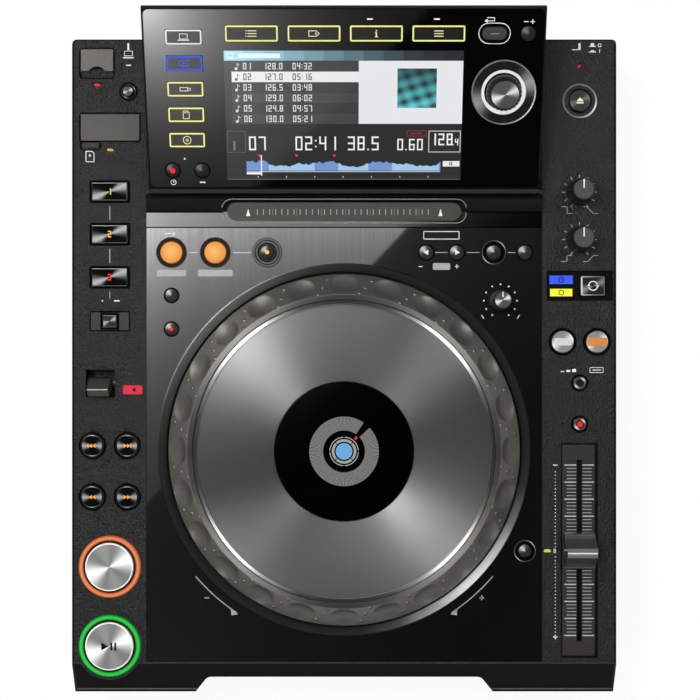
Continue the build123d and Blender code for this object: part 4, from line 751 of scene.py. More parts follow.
def dial_bumps():
    """Three rows of small domes between dimples: rings of a quarter circle about each spot."""
    radii = np.array([100.2, 95.6, 91.9])
    leans = np.radians([-1.9, 0.0, 1.9])
    index = np.arange(dimple_count)
    angle = (np.radians(7.5 + 15 * index)[:, None] + leans[None]).ravel()
    r = np.tile(radii, dimple_count)
    slope = atan2(slope_head[1] - slope_foot[1], slope_foot[0] - slope_head[0])
    z = slope_foot[1] + (slope_foot[0] - r) * tan(slope)
    rise = np.radians([0, 30, 60, 89.9])
    turn = np.linspace(0, 2 * pi, 8, endpoint=False)
    size = 1.25
    local = np.stack(np.broadcast_arrays(
        size * np.cos(rise)[:, None] * np.cos(turn)[None],
        size * np.cos(rise)[:, None] * np.sin(turn)[None],
        0.5 * size * np.sin(rise)[:, None] + 0 * turn[None]), -1)
    out = np.stack([np.cos(angle), np.sin(angle), 0 * angle], 1)
    up = np.array([0, 0, 1.0])
    side = np.cross(up, out)
    face = out * sin(slope) + up * cos(slope)
    climb = np.cross(face, side)
    centre = out * r[:, None] + up * z[:, None] + [0, jog_y, 0]
    domes = (centre[:, None, None]
             + local[None, ..., 0:1] * side[:, None, None]
             + local[None, ..., 1:2] * climb[:, None, None]
             + local[None, ..., 2:3] * face[:, None, None])
    count, rows, cols = domes.shape[:3]
    n, i, j = np.meshgrid(np.arange(count), np.arange(rows - 1), np.arange(cols), indexing="ij")
    k = (j + 1) % cols
    base = n * rows * cols
    quads = np.stack([base + i * cols + j, base + i * cols + k,
                      base + (i + 1) * cols + k, base + (i + 1) * cols + j], -1).reshape(-1, 4)
    mesh = bpy.data.meshes.new("dial_bumps")
    mesh.from_pydata((domes.reshape(-1, 3) * MM).tolist(), [], quads.tolist())
    return finish_mesh("dial_bumps", mesh, 60)


dress(dial_surface(), dial_finish, "jog_ring", "jog_ring")
dress(dial_bumps(), bump_finish, "jog_ring")

well_profile = soften([
    (11.0, 50.0), (106.3, 50.0), (106.3, 59.0), (108.8, 62.0), (108.8, 64.55), (108.4, 64.7),
    (104.5, 61.2), (104.3, 60.6), (104.3, 52.5), (15.0, 52.5), (15.0, 73.2), (11.0, 73.2),
    (11.0, 50.0),
], 0.12)
dress(turned("jog_basin", well_profile, (0, jog_y), steps=240), well_finish, "base", "jog_well")
flange_ring = [(104.6, 61.42), (108.3, 64.78), (108.5, 64.8), (108.9, 64.62), (108.9, 64.3),
               (104.6, 60.9), (104.6, 61.42)]
seam_ring = ring_section(108.95, 109.5, deck - 0.3, deck + 0.14, 0.05)
dress(turned("jog_seam", seam_ring, (0, jog_y), steps=240), seam_metal, "base", on="deck_panel")
dress(turned("jog_flange", flange_ring, (0, jog_y), steps=240), flange_painted_glint, "base",
      on="jog_well")

plate_profile = soften([
    (40.6, 75.4), (40.6, 78.0), (84.2, 78.0), (84.6, 77.75), (85.0, 78.0), (85.3, 78.0),
    (87.15, 77.15), (87.2, 76.6), (87.2, 72.5), (85.2, 72.5), (85.2, 75.4), (40.6, 75.4),
], 0.1, 2)
dress(turned("jog_platter", plate_profile, (0, jog_y), steps=240), platter_metal,
      "jog_plate", "jog_plate")
chamfer_ring = [(84.9, 77.7), (85.3, 78.0), (87.18, 77.14), (87.19, 76.8), (84.9, 77.7)]
dress(turned("plate_chamfer", chamfer_ring, (0, jog_y), steps=240), chamfer_metal, "jog_plate")
rim_ring = [(87.65, 77.1), (87.98, 77.64), (90.5, 77.64), (90.9, 77.52), (91.0, 77.3),
            (87.65, 77.1)]
dress(turned("dial_rim", rim_ring, (0, jog_y), steps=240), rim_metal, "jog_ring")

window_profile = soften([
    (0, 59.2), (10.9, 59.2), (10.9, 73.2), (40.2, 73.2), (40.2, 77.55), (40.0, 77.62), (0, 77.62),
], 0.08, 2)
dress(turned("jog_window", window_profile, (0, jog_y), steps=160), window_face,
      "base", "jog_display")


def jog_picture():
    """The still display in the dial: a circle of fine lines, a marker and three inner rings."""
    z = 77.66
    fine = [arc(0, 0, 12.1, 20.1, a, a + 1.5, 1) for a in np.arange(56.0, 402.0, 2.5)]
    parts = (
        ("jog_lines", np.concatenate(fine), "8c8c8a"),
        ("jog_marker", arc(0, 0, 9.4, 11.2, 44.5, 52.5, 3), "d8281e"),
        ("jog_thin_ring", np.concatenate(
            [arc(0, 0, 8.0, 8.45, a + 3, a + 87, 14) for a in (0, 90, 180, 270)]), "a8a8a6"),
        ("jog_thick_ring", np.concatenate(
            [arc(0, 0, 5.6, 7.1, a + 2, a + 88, 14) for a in (45, 135, 225, 315)]), "9a9a98"),
        ("jog_disc", arc(0, 0, 0.01, 4.8, steps=40), "64a4d8"),
    )
    for name, quads, code in parts:
        tint = np.tile(linear(code), (len(quads), 1))
        marks(name, layer(quads, z), (0, jog_y), screen_glow, "base", tints=tint, on="jog_display")


jog_picture()


# ---------------------------------------------------------------- keys
def middle(node):
    """A solid's middle in plan, its half width, top and foot, in mm."""
    low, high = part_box(node)
    x, y = (low.x + high.x) / MM / 2, (low.y + high.y) / MM / 2
    return (x, y), (high.x - low.x) / MM / 2, high.z / MM, low.z / MM


def cap_line(radius, top, foot, crown, edge=0.45, flange=None):
    """Profile of a round key: stem, flange, wall, bevel and a crown that falls as r squared."""
    t = np.linspace(1, 0, 11)
    dome = np.stack([(radius - edge) * t, top - crown * t**2], 1)
    under = foot + 2.0 if flange is None else flange - 1.2
    flange = under + 1.2
    stem = [(0, foot), (2.0, foot), (2.0, under), (radius + 0.6, under), (radius + 0.6, flange),
            (radius, flange), (radius, top - crown - edge)]
    return np.concatenate([np.array(stem), dome])


def round_key(node, material, crown=0.5, edge=0.45, wall=case_wall):
    """A turned key cap over its flange and stem, with a soft edge and a shallow crown."""
    centre, half, top, foot = middle(node)
    profile = cap_line(half - 1.3, top, foot, crown, edge, deck - wall - 0.35)
    return dress(turned(node + "_cap", profile, centre), material, node, node)


def key_disc(node, radius, lift, material, name="face", inner=0.0, place=upright, centre=None,
             top=None, drop=0.25):
    """A thin turned disc or ring set into a key's top."""
    at, _, high, _ = middle(node)
    z = (high if top is None else top) + lift
    line_ = [(inner, z - drop), (radius, z - drop), (radius, z - 0.08), (radius - 0.08, z),
             (inner, z)]
    line_ = line_ + line_[:1] if inner else line_
    return dress(turned(f"{node}_{name}", line_, centre or at, place), material, node)


for node in ("track_back_key", "track_next_key", "search_back_key", "search_next_key"):
    round_key(node, key_black, crown=0.25, edge=0.6)
    key_disc(node, 6.2, 0.02, track_metal)
    key_disc(node, 6.2, 0.04, crescent_metal, "crescent", inner=5.75)
for node in ("sync_key", "master_key"):
    round_key(node, key_black, crown=0.2, edge=0.6)
    key_disc(node, 6.3, 0.02, sync_metal)
for node in ("loop_in_key", "loop_out_key"):
    round_key(node, loop_glow, crown=0.9, wall=panel_sheet)
for node in ("reloop_key", "loop_mode_key", "slip_key", "call_back_key", "call_next_key",
             "delete_key", "memory_key", "tempo_reset_key"):
    round_key(node, dome_pearl, crown=1.25, edge=0.3, wall=panel_sheet)
for node in ("tempo_range_key", "master_tempo_key"):
    round_key(node, key_black, crown=0.4)
    key_disc(node, 3.45, 0.02, key_black)
    key_disc(node, 3.5, 0.05, range_metal, "rim", inner=2.3)
round_key("usb_stop_key", key_black, crown=0.5)
key_disc("usb_stop_key", 2.75, 0.02, stop_metal)
round_key("eject_button", key_black, crown=0.5)
key_disc("eject_button", 5.9, 0.02, eject_metal)


def collar(name, node, inner, outer, top, material, on="deck_panel", low=deck - 0.4, bevel=0.2):
    """A turned ring round a key on its panel."""
    section = ring_section(inner, outer, low, top, bevel)
    return dress(turned(name, section, middle(node)[0], steps=80), material, "base", on=on)


for node in ("loop_in_key", "loop_out_key"):
    collar(node + "_collar", node, 6.75, 9.05, deck + 0.98, ring_brown, bevel=0.3)
collar("reloop_collar", "reloop_key", 6.0, 6.9, deck + 0.98, ring_olive)
collar("reloop_well", "reloop_key", 4.62, 6.0, deck + 0.9, groove_black)
collar("reloop_rim", "reloop_key", 7.3, 8.4, deck + 0.96, ring_olive, bevel=0.3)
collar("reloop_groove", "reloop_key", 6.8, 7.4, deck + 0.93, groove_black, bevel=0.05)
collar("reloop_outline", "reloop_key", 8.35, 8.8, deck + 0.5, groove_black, bevel=0.05)
for node in ("call_back_key", "call_next_key", "memory_key", "slip_key", "loop_mode_key"):
    half = middle(node)[1] - 1.3
    collar(node + "_outline", node, half + 0.15, half + 0.85, deck + 0.35, groove_black, bevel=0.05)
for node in ("delete_key", "tempo_reset_key"):
    outer = 7.05 if node == "delete_key" else 6.35
    collar(node + "_collar", node, outer - 2.3, outer - 0.45, deck + 0.93, groove_black)
    collar(node + "_rim", node, outer - 0.5, outer, deck + 0.97, range_metal, bevel=0.15)
eject_rings = soften([
    (7.25, 63.6), (10.3, 63.6), (10.3, 64.5), (9.9, 65.05), (9.4, 65.05), (8.9, 64.5),
    (8.2, 64.3), (7.5, 64.9), (7.25, 64.9), (7.25, 63.6),
], 0.15)
dress(turned("eject_collar", eject_rings, middle("eject_button")[0], steps=96), groove_black,
      "base", on="upper_case")
collar("eject_rim", "eject_button", 8.95, 10.2, deck + 1.1, ejector_rim, "upper_case", bevel=0.3)
collar("eject_seat", "eject_button", 7.3, 7.75, deck + 0.95, ring_olive, "upper_case", bevel=0.1)
for node in ("track_back_key", "track_next_key", "search_back_key", "search_next_key",
             "sync_key", "master_key", "tempo_range_key", "master_tempo_key"):
    half = middle(node)[1] - 1.3
    collar(node + "_outline", node, half + 0.2, half + 1.15, deck + 0.12, groove_black,
           "upper_case", bevel=0.05)
collar("usb_stop_collar", "usb_stop_key", 4.25, 5.45, deck + 0.65, groove_black, "upper_case")
collar("usb_stop_rim", "usb_stop_key", 4.1, 4.3, deck + 0.66, knob_grey, "upper_case", bevel=0.05)


def block_key(node, width, depth, radius, material, edge_material, inset=0.9):
    """A rectangular cap with a soft bright edge and a flat face let into it."""
    centre, _, top, foot = middle(node)
    outline = slab(width, depth, radius, run=9)
    flange = deck - case_wall - 0.35
    body = [(-width / 3, foot), (-width / 3, flange - 1.2), (0.6, flange - 1.2), (0.6, flange),
            (0, flange), (0, top - 0.7), (-0.25, top - 0.2), (-0.7, top - 0.02)]
    dress(block(node + "_cap", outline, body, centre), edge_material, node, node)
    face = [(-inset, top - 0.2), (-inset, top - 0.01), (-inset - 0.06, top + 0.02)]
    return dress(block(node + "_face", outline, face, centre), material, node)


for node in ("hot_cue_1", "hot_cue_2", "hot_cue_3"):
    block_key(node, 21.7, 11.2, 1.0, cue_metal, key_black)
    spot, half, top, foot = middle(node)
    # A grey bar along the top edge of each hot cue key: a painted highlight.
    top_edge_highlight = bar(-10.0, 4.75, 10.0, 5.05)
    marks(node + "_edge", layer(top_edge_highlight, top + 0.03), spot, grey_print_and_highlight, node)
block_key("rec_key", 9.0, 7.9, 0.7, rec_metal, key_black)
block_key("jog_mode_key", 14.0, 11.4, 0.8, mode_metal, mode_edge, inset=0.7)


def surround(name, centre, width, depth, radius, line_width, material, top=deck + 0.08,
             on="upper_case", place=upright, low=deck - 0.5, body="base"):
    """A thin rail with round corners about a spot, its outer size given."""
    section = ring_section(-line_width, 0.0, low, top, min(0.06, line_width / 3))
    return dress(rail(name, slab(width, depth, radius), section, centre, place), material, body,
                 on=on)


for node in ("hot_cue_1", "hot_cue_2", "hot_cue_3"):
    surround(node + "_surround", middle(node)[0], 24.0, 13.4, 1.4, 1.0, groove_black, deck + 0.12)
surround("rec_surround", (-137.5, 16.9), 23.8, 12.0, 1.2, 0.8, groove_black)
surround("rec_key_surround", (-137.5, 16.9), 10.9, 9.6, 1.0, 0.8, groove_black)
surround("mode_surround", (138.25, 37.75), 38.8, 17.7, 0.8, 0.5, groove_black)
surround("mode_key_surround", (145.9, 37.6), 15.8, 13.2, 1.4, 0.8, groove_black)
surround("usb_door_surround", (-145.05, 168.2), 21.0, 18.4, 2.4, 0.7, groove_black, deck + 0.05)
surround("sd_door_surround", (-137.4, 130.7), 36.4, 17.4, 1.2, 0.7, groove_black, deck + 0.05)
surround("sd_tab_surround", (-148.9, 119.8), 12.4, 5.2, 1.4, 0.6, groove_black, deck + 0.05)


def lens(name, centre, width, depth, material, replaces=()):
    """A round-ended lamp lens that stands a little out of the deck."""
    radius = min(width, depth) / 2 - 0.02
    levels = [(0, deck - case_wall), (0, deck + 0.05), (-0.15, deck + 0.15)]
    return dress(block(name, slab(width, depth, radius, 8), levels, centre), material, "base",
                 *replaces, on="light_guides")


lens("stick_lamp", (-145.05, 155.6), 3.9, 1.6, dull_red)
lens("card_lamp", (-137.5, 117.6), 3.5, 1.15, card_light)
lens("tempo_lamp", (119.2, -118.0), 4.2, 1.35, lime_light)
lens("standby_lamp", (138.1, 166.7), 1.8, 1.8, dull_red)


# ---------------------------------------------------------------- transport
def transport_button(node, centre):
    """Cue and play cap: a flat turned face with a bright broken edge and a square stem."""
    low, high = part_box(node)
    top, foot = high.z / MM, low.z / MM
    face = [(0, foot), (3.0, foot), (3.0, 60.0), (14.05, 60.0), (14.05, top - 0.6),
            (13.6, top - 0.06), (13.4, top), (0, top)]
    dress(turned(node + "_cap", soften(face, 0.08, 2), centre, steps=120), cap_metal, node, node)
    edge = [(13.3, top - 0.3), (14.08, top - 0.7), (14.08, top - 0.45), (13.7, top + 0.02),
            (13.3, top + 0.03), (13.3, top - 0.3)]
    dress(turned(node + "_edge", edge, centre, steps=120), edge_silver, node)


cue_at, play_at = (-137.5, -127.1), (-137.5, -173.5)
transport_button("cue_button", cue_at)
transport_button("play_button", play_at)


def light_ring(name, inner, outer, low, high, centre, material, place=upright, bevel=0.5):
    """A flat lit ring with broken edges."""
    section = ring_section(inner, outer, low, high, bevel)
    return dress(turned(name, section, centre, place, 96), material, "base", on="light_guides")


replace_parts(light_ring("cue_light", 15.4, 18.15, 58.0, 65.3, cue_at, orange_light), "light_guides")
light_ring("play_light", 15.4, 18.15, 58.0, 65.3, play_at, green_light)
for name, spot in (("cue", cue_at), ("play", play_at)):
    section = ring_section(14.5, 15.4, 58.0, 64.9, 0.1)
    dress(turned(name + "_gap_ring", section, spot, steps=96), ring_brown, "base",
          on="light_guides")


def play_sign():
    """A plain triangle and two bars on the play cap."""
    z = middle("play_button")[2] + 0.03
    sign = np.concatenate([tri((-4.6, -2.3), (-4.6, 2.3), (-0.4, 0)), bar(0.7, -2.3, 1.9, 2.3),
                           bar(3.0, -2.3, 4.2, 2.3)])
    marks("play_sign", layer(sign, z), play_at, dark_print_and_shade, "play_button")


play_sign()


# ---------------------------------------------------------------- knobs, slider and lever
def fluted(name, centre, skirt, top_radius, low, high, material, node, place=upright,
           flutes=24, depth=0.35, shaft=0.0, foot=0.0):
    """A knob: rows of its turned profile, with the skirt's radius waved by a cosine."""
    count = flutes * 8
    angle = np.linspace(0, 2 * pi, count, endpoint=False)[None, :]
    profile = [(skirt - 0.4, low), (skirt, low + 0.5), (skirt - 0.2, low + (high - low) * 0.45),
               (top_radius + 0.6, high - 0.9), (top_radius + 0.1, high - 0.25),
               (top_radius - 0.4, high), (top_radius * 0.6, high - 0.06), (0, high - 0.1)]
    stem = [(0, foot), (shaft, foot), (shaft, low)] if shaft else [(0, low)]
    wave = np.array([0.0] * len(stem) + [1, 1, 1, 0.7, 0, 0, 0, 0])[:, None] * depth
    profile = np.array(stem + profile)
    r = profile[:, :1] - wave * (0.5 + 0.5 * np.cos(flutes * angle))
    points = np.stack([r * np.cos(angle), r * np.sin(angle), profile[:, 1:] + 0 * angle], -1)
    piece = surface(name, place(points, centre), polar=points[..., :2], sharp=50)
    return dress(piece, material, node, node)


for node, skirt, top_radius in (("brake_knob", 7.7, 6.0), ("start_knob", 7.7, 6.0),
                                ("jog_adjust_knob", 6.2, 4.9)):
    spot, half, top, foot = middle(node)
    fluted(node + "_grip", spot, skirt, top_radius, deck + 0.4, top - 0.02, knob_black, node,
           shaft=2.9, foot=foot)
    small = node == "jog_adjust_knob"
    key_disc(node, top_radius - 0.35, 0.0, face_metal if small else knob_grey, drop=0.35)
    pointer = bar(-0.4, 0.6, 0.4, top_radius - 0.2) if not small else bar(-0.3, 1.6, 0.3, 4.7)
    marks(node + "_pointer", layer(pointer, top + 0.03), spot, white_print, node)


def slider_cap():
    """The tempo slider: a section along its travel, carried over its width with soft ends."""
    spot, _, top, foot = middle("tempo_slider")
    low = deck + 0.3
    side = soften([
        (-5.0, foot), (-5.0, foot + 1.2), (-3.0, foot + 1.2), (-3.0, low), (-10.3, low),
        (-10.3, low + 2.4), (-8.7, low + 3.4), (-7.2, low + 4.2), (-3.9, top - 2.6), (-3.2, top - 0.6),
        (-2.6, top), (2.6, top), (3.2, top - 0.6), (3.9, top - 2.6), (7.2, low + 4.2),
        (8.7, low + 3.4), (10.3, low + 2.4), (10.3, low), (3.0, low), (3.0, foot + 1.2),
        (5.0, foot + 1.2), (5.0, foot), (-5.0, foot),
    ], 0.35, 2)
    across = np.array([-8.6, -9.0, -9.0, 9.0, 9.0, 8.6])
    shrink = np.array([0.97, 1.0, 1.0, 1.0, 1.0, 0.97])[:, None]
    stem = side[:, 1] < low - 0.01
    width = np.where(stem[None, :], np.clip(across, -1.3, 1.3)[:, None], across[:, None])
    y = side[None, :, 0] * np.where(stem[None, :], 1.0, shrink)
    z = np.broadcast_to(side[None, :, 1], y.shape)
    rows = np.stack([width + 0 * y, y, z], -1)
    hub = rows[:, :1] * 0 + rows.mean(1, keepdims=True)
    rows = np.concatenate([np.broadcast_to(hub[:1], rows[:1].shape), rows,
                           np.broadcast_to(hub[-1:], rows[:1].shape)])
    dress(surface("tempo_slider_cap", upright(rows, spot)), slider_plastic, "tempo_slider",
          "tempo_slider")
    marks("slider_line", layer(bar(-8.6, -0.4, 8.6, 0.4), top + 0.03), spot, white_print,
          "tempo_slider")
    # Grey bands beside the white line and grey lines on the front and rear ramps: painted sheen and
    # highlights.
    bands = np.concatenate([bar(-8.8, 0.5, 8.8, 2.5), bar(-8.8, -2.5, 8.8, -0.5)])
    marks("slider_sheen_bands", layer(bands, top + 0.02), spot, sheen_highlight_grey, "tempo_slider")
    brows = [bar(-8.7, y - 0.2, 8.7, y + 0.2) for y in (-9.3, 9.3)]
    marks("slider_brow_highlights", layer(np.concatenate(brows), low + 3.1), spot, sheen_highlight_grey, "tempo_slider")


slider_cap()
# The lever's front face in a lighter copy of its plastic and a grey line along its crest: painted
# highlights.
lever_front_highlight = np.array([[[-6.05, -3.95, 75.33], [6.05, -3.95, 75.33],
                         [6.05, -7.45, 69.55], [-6.05, -7.45, 69.55]]])
marks("lever_front_highlight", lever_front_highlight, (-143.05, -19.55), painted_lever_light, "direction_lever")
crest_glint = layer(bar(-6.1, -3.75, 6.1, -3.1), deck + 11.32)
marks("lever_crest_highlight", crest_glint, (-143.05, -19.55), grey_print_and_highlight, "direction_lever")


# ---------------------------------------------------------------- display unit
selector_at = (90.6, 54.9)
glass_back = -5.75


def selector():
    """Bezel, lit ring, fluted knob and turned face of the rotary selector."""
    bezel = soften([(12.75, 0.6), (18.28, 0.6), (18.28, 1.3), (17.9, 1.62), (17.4, 1.62),
                    (17.0, 1.56), (13.4, 1.56), (13.0, 1.58), (12.75, 1.5), (12.75, 0.6)], 0.08)
    dress(turned("selector_bezel", bezel, selector_at, up_slope, 120), bezel_metal, "base",
          on="display_glass")
    light_ring("selector_light", 11.0, 12.6, glass_back, 1.0, selector_at, white_light, up_slope,
               0.3)
    fluted("selector_grip", selector_at, 10.2, 7.8, 1.35, 10.25, knob_black, "selector_knob",
           up_slope)
    rim = ring_section(17.5, 18.3, 0.6, 1.66, 0.1)
    dress(turned("selector_rim", rim, selector_at, up_slope, 120), ejector_rim, "base",
          on="display_glass")
    face = [(0, 9.9), (7.75, 9.9), (7.75, 10.2), (7.6, 10.28), (0, 10.28)]
    dress(turned("selector_face", face, selector_at, up_slope, 72), face_metal, "selector_knob")


selector()


def display_keys():
    """Round and oval keys of the glass and the outlines of the lit keys."""
    for name, u, node, first in (("quantize_dome", -98.9, "display_keys", True),
                                 ("time_dome", -81.9, "display_keys", False)):
        profile = cap_line(3.9, 1.35, glass_back, 1.0, 0.3, -3.6)
        dress(turned(name, profile, (u, 9.7), up_slope), dim_dome, node, *([node] if first else []))
    dress(turned("tag_dome", cap_line(3.95, 1.35, glass_back, 1.0, 0.3, -3.6), (103.5, 87.5),
                 up_slope), dim_dome, "tag_key", "tag_key")
    oval = slab(13.8, 7.0, 3.45, 8)
    levels = [(-1.5, glass_back), (0, glass_back), (0, 1.3), (-0.5, 1.9), (-1.2, 2.08)]
    dress(block("back_cap", oval, levels, (84.5, 87.7), up_slope), key_pearl, "back_key", "back_key")
    glass = {"top": 0.04, "on": "display_glass", "place": up_slope, "low": -0.4}
    surround("back_outline", (84.5, 87.7), 18.2, 11.8, 5.8, 0.45, white_print, **glass)
    for name, u in (("quantize_rim", -98.9), ("time_rim", -81.9)):
        surround(name, (u, 9.7), 9.6, 9.6, 4.75, 0.5, groove_black, **glass)
    lit = {"top": 0.76, "place": up_slope, "low": 0.4}
    for step, glow in enumerate((yellow_light, yellow_light, yellow_light, blue_light, white_light)):
        surround(f"source_outline_{step + 1}", (-90.0, 27.5 + 14.55 * step), 20.3, 8.2, 0.9, 0.85,
                 glow, on="source_keys", body="source_keys", **lit)
    for step, u in enumerate((-51.8, -16.7, 18.2, 53.2)):
        surround(f"browse_outline_{step + 1}", (u, 87.7), 29.5, 8.8, 0.9, 0.85, yellow_light,
                 on="browse_keys", body="browse_keys", **lit)


display_keys()


def key_signs():
    """Plain pictograms on the display's keys: disc, card, stick, link and computer; list, tag,
    details and menu."""
    z = 0.74
    disc = np.concatenate([arc(0, 0, 2.0, 2.4, steps=28), arc(0, 0, 0.45, 0.8, steps=14)])
    card = np.concatenate([line([(-1.7, -2.2), (-1.7, 2.2), (0.8, 2.2), (1.7, 1.3), (1.7, -2.2),
                                 (-1.7, -2.2)], 0.35)]
                          + [bar(x, 0.9, x + 0.35, 1.7) for x in (-1.1, -0.4, 0.3)])
    stick = np.concatenate([line([(-3.0, -0.95), (1.2, -0.95), (1.2, 0.95), (-3.0, 0.95),
                                  (-3.0, -0.95)], 0.35),
                            line([(1.2, -0.6), (2.9, -0.6), (2.9, 0.6), (1.2, 0.6)], 0.3)])
    link = np.concatenate([arc(-1.4, 0, 1.3, 1.7, 40, 320, 20), arc(1.4, 0, 1.3, 1.7, -140, 140, 20),
                           bar(-1.2, -0.2, 1.2, 0.2)])
    laptop = np.concatenate([line([(-2.2, -1.0), (-2.2, 1.8), (2.2, 1.8), (2.2, -1.0), (-2.2, -1.0)],
                                  0.35), bar(-3.3, -1.9, 3.3, -1.4)])
    for step, sign in enumerate((disc, card, stick, link, laptop)):
        colour = (pale_light, pale_light, pale_light, blue_light, white_light)[step]
        marks(f"source_sign_{step + 1}", layer(sign, z), (-90.0, 27.5 + 14.55 * step), colour,
              "source_keys", up_slope)
    rows = np.concatenate([bar(-2.2, y, 2.8, y + 0.45) for y in (-1.7, -0.2, 1.3)]
                          + [bar(-3.4, y, -2.8, y + 0.45) for y in (-1.7, -0.2, 1.3)])
    tag = np.concatenate([line([(-2.9, -1.5), (1.2, -1.5), (2.9, 0), (1.2, 1.5), (-2.9, 1.5),
                                (-2.9, -1.5)], 0.4), arc(1.0, 0, 0.2, 0.55, steps=10)])
    details = np.concatenate([bar(-0.35, -2.0, 0.35, 0.6), bar(-0.35, 1.2, 0.35, 1.9),
                              bar(-0.9, -2.0, 0.9, -1.6), bar(-0.9, 0.3, 0.35, 0.65)])
    menu = np.concatenate([bar(-2.6, y, 2.6, y + 0.5) for y in (-1.7, -0.25, 1.2)])
    for step, (u, sign) in enumerate(zip((-51.8, -16.7, 18.2, 53.2), (rows, tag, details, menu))):
        marks(f"browse_sign_{step + 1}", layer(sign, z), (u, 87.7), pale_light, "browse_keys",
              up_slope)
    marks("quantize_lamp", layer(arc(0, 0, 0.01, 1.5, steps=20), 1.4), (-98.9, 9.7), red_light,
          "display_keys", up_slope)
    marks("back_sign", layer(bar(-2.4, -0.18, 2.4, 0.18), 2.12), (84.5, 87.7), grey_print_and_highlight,
          "back_key", up_slope)
    dashes = np.concatenate([bar(13.0, 95.2, 16.2, 96.0), bar(50.4, 95.2, 53.6, 96.0),
                             bar(-83.6, 2.3, -80.4, 3.1), bar(-92.4, 16.0, -91.4, 17.0),
                             line([(80.2, 96.4), (84.2, 96.4), (84.2, 94.6), (80.6, 94.6)], 0.45),
                             tri((80.4, 93.5), (80.4, 95.7), (78.6, 94.6)),
                             line([(101.0, 94.2), (103.0, 94.2)], 0.5),
                             line([(104.6, 94.2), (106.6, 94.2)], 0.5),
                             line([(105.6, 93.2), (105.6, 95.2)], 0.5),
                             arc(-98.9, 2.7, 1.3, 1.65, steps=20), bar(-99.1, 2.6, -98.0, 2.95),
                             bar(-99.1, 2.6, -98.75, 3.6)])
    marks("glass_signs", layer(dashes, 0.04), (0, 0), white_print, "base", up_slope,
          on="display_glass")


key_signs()


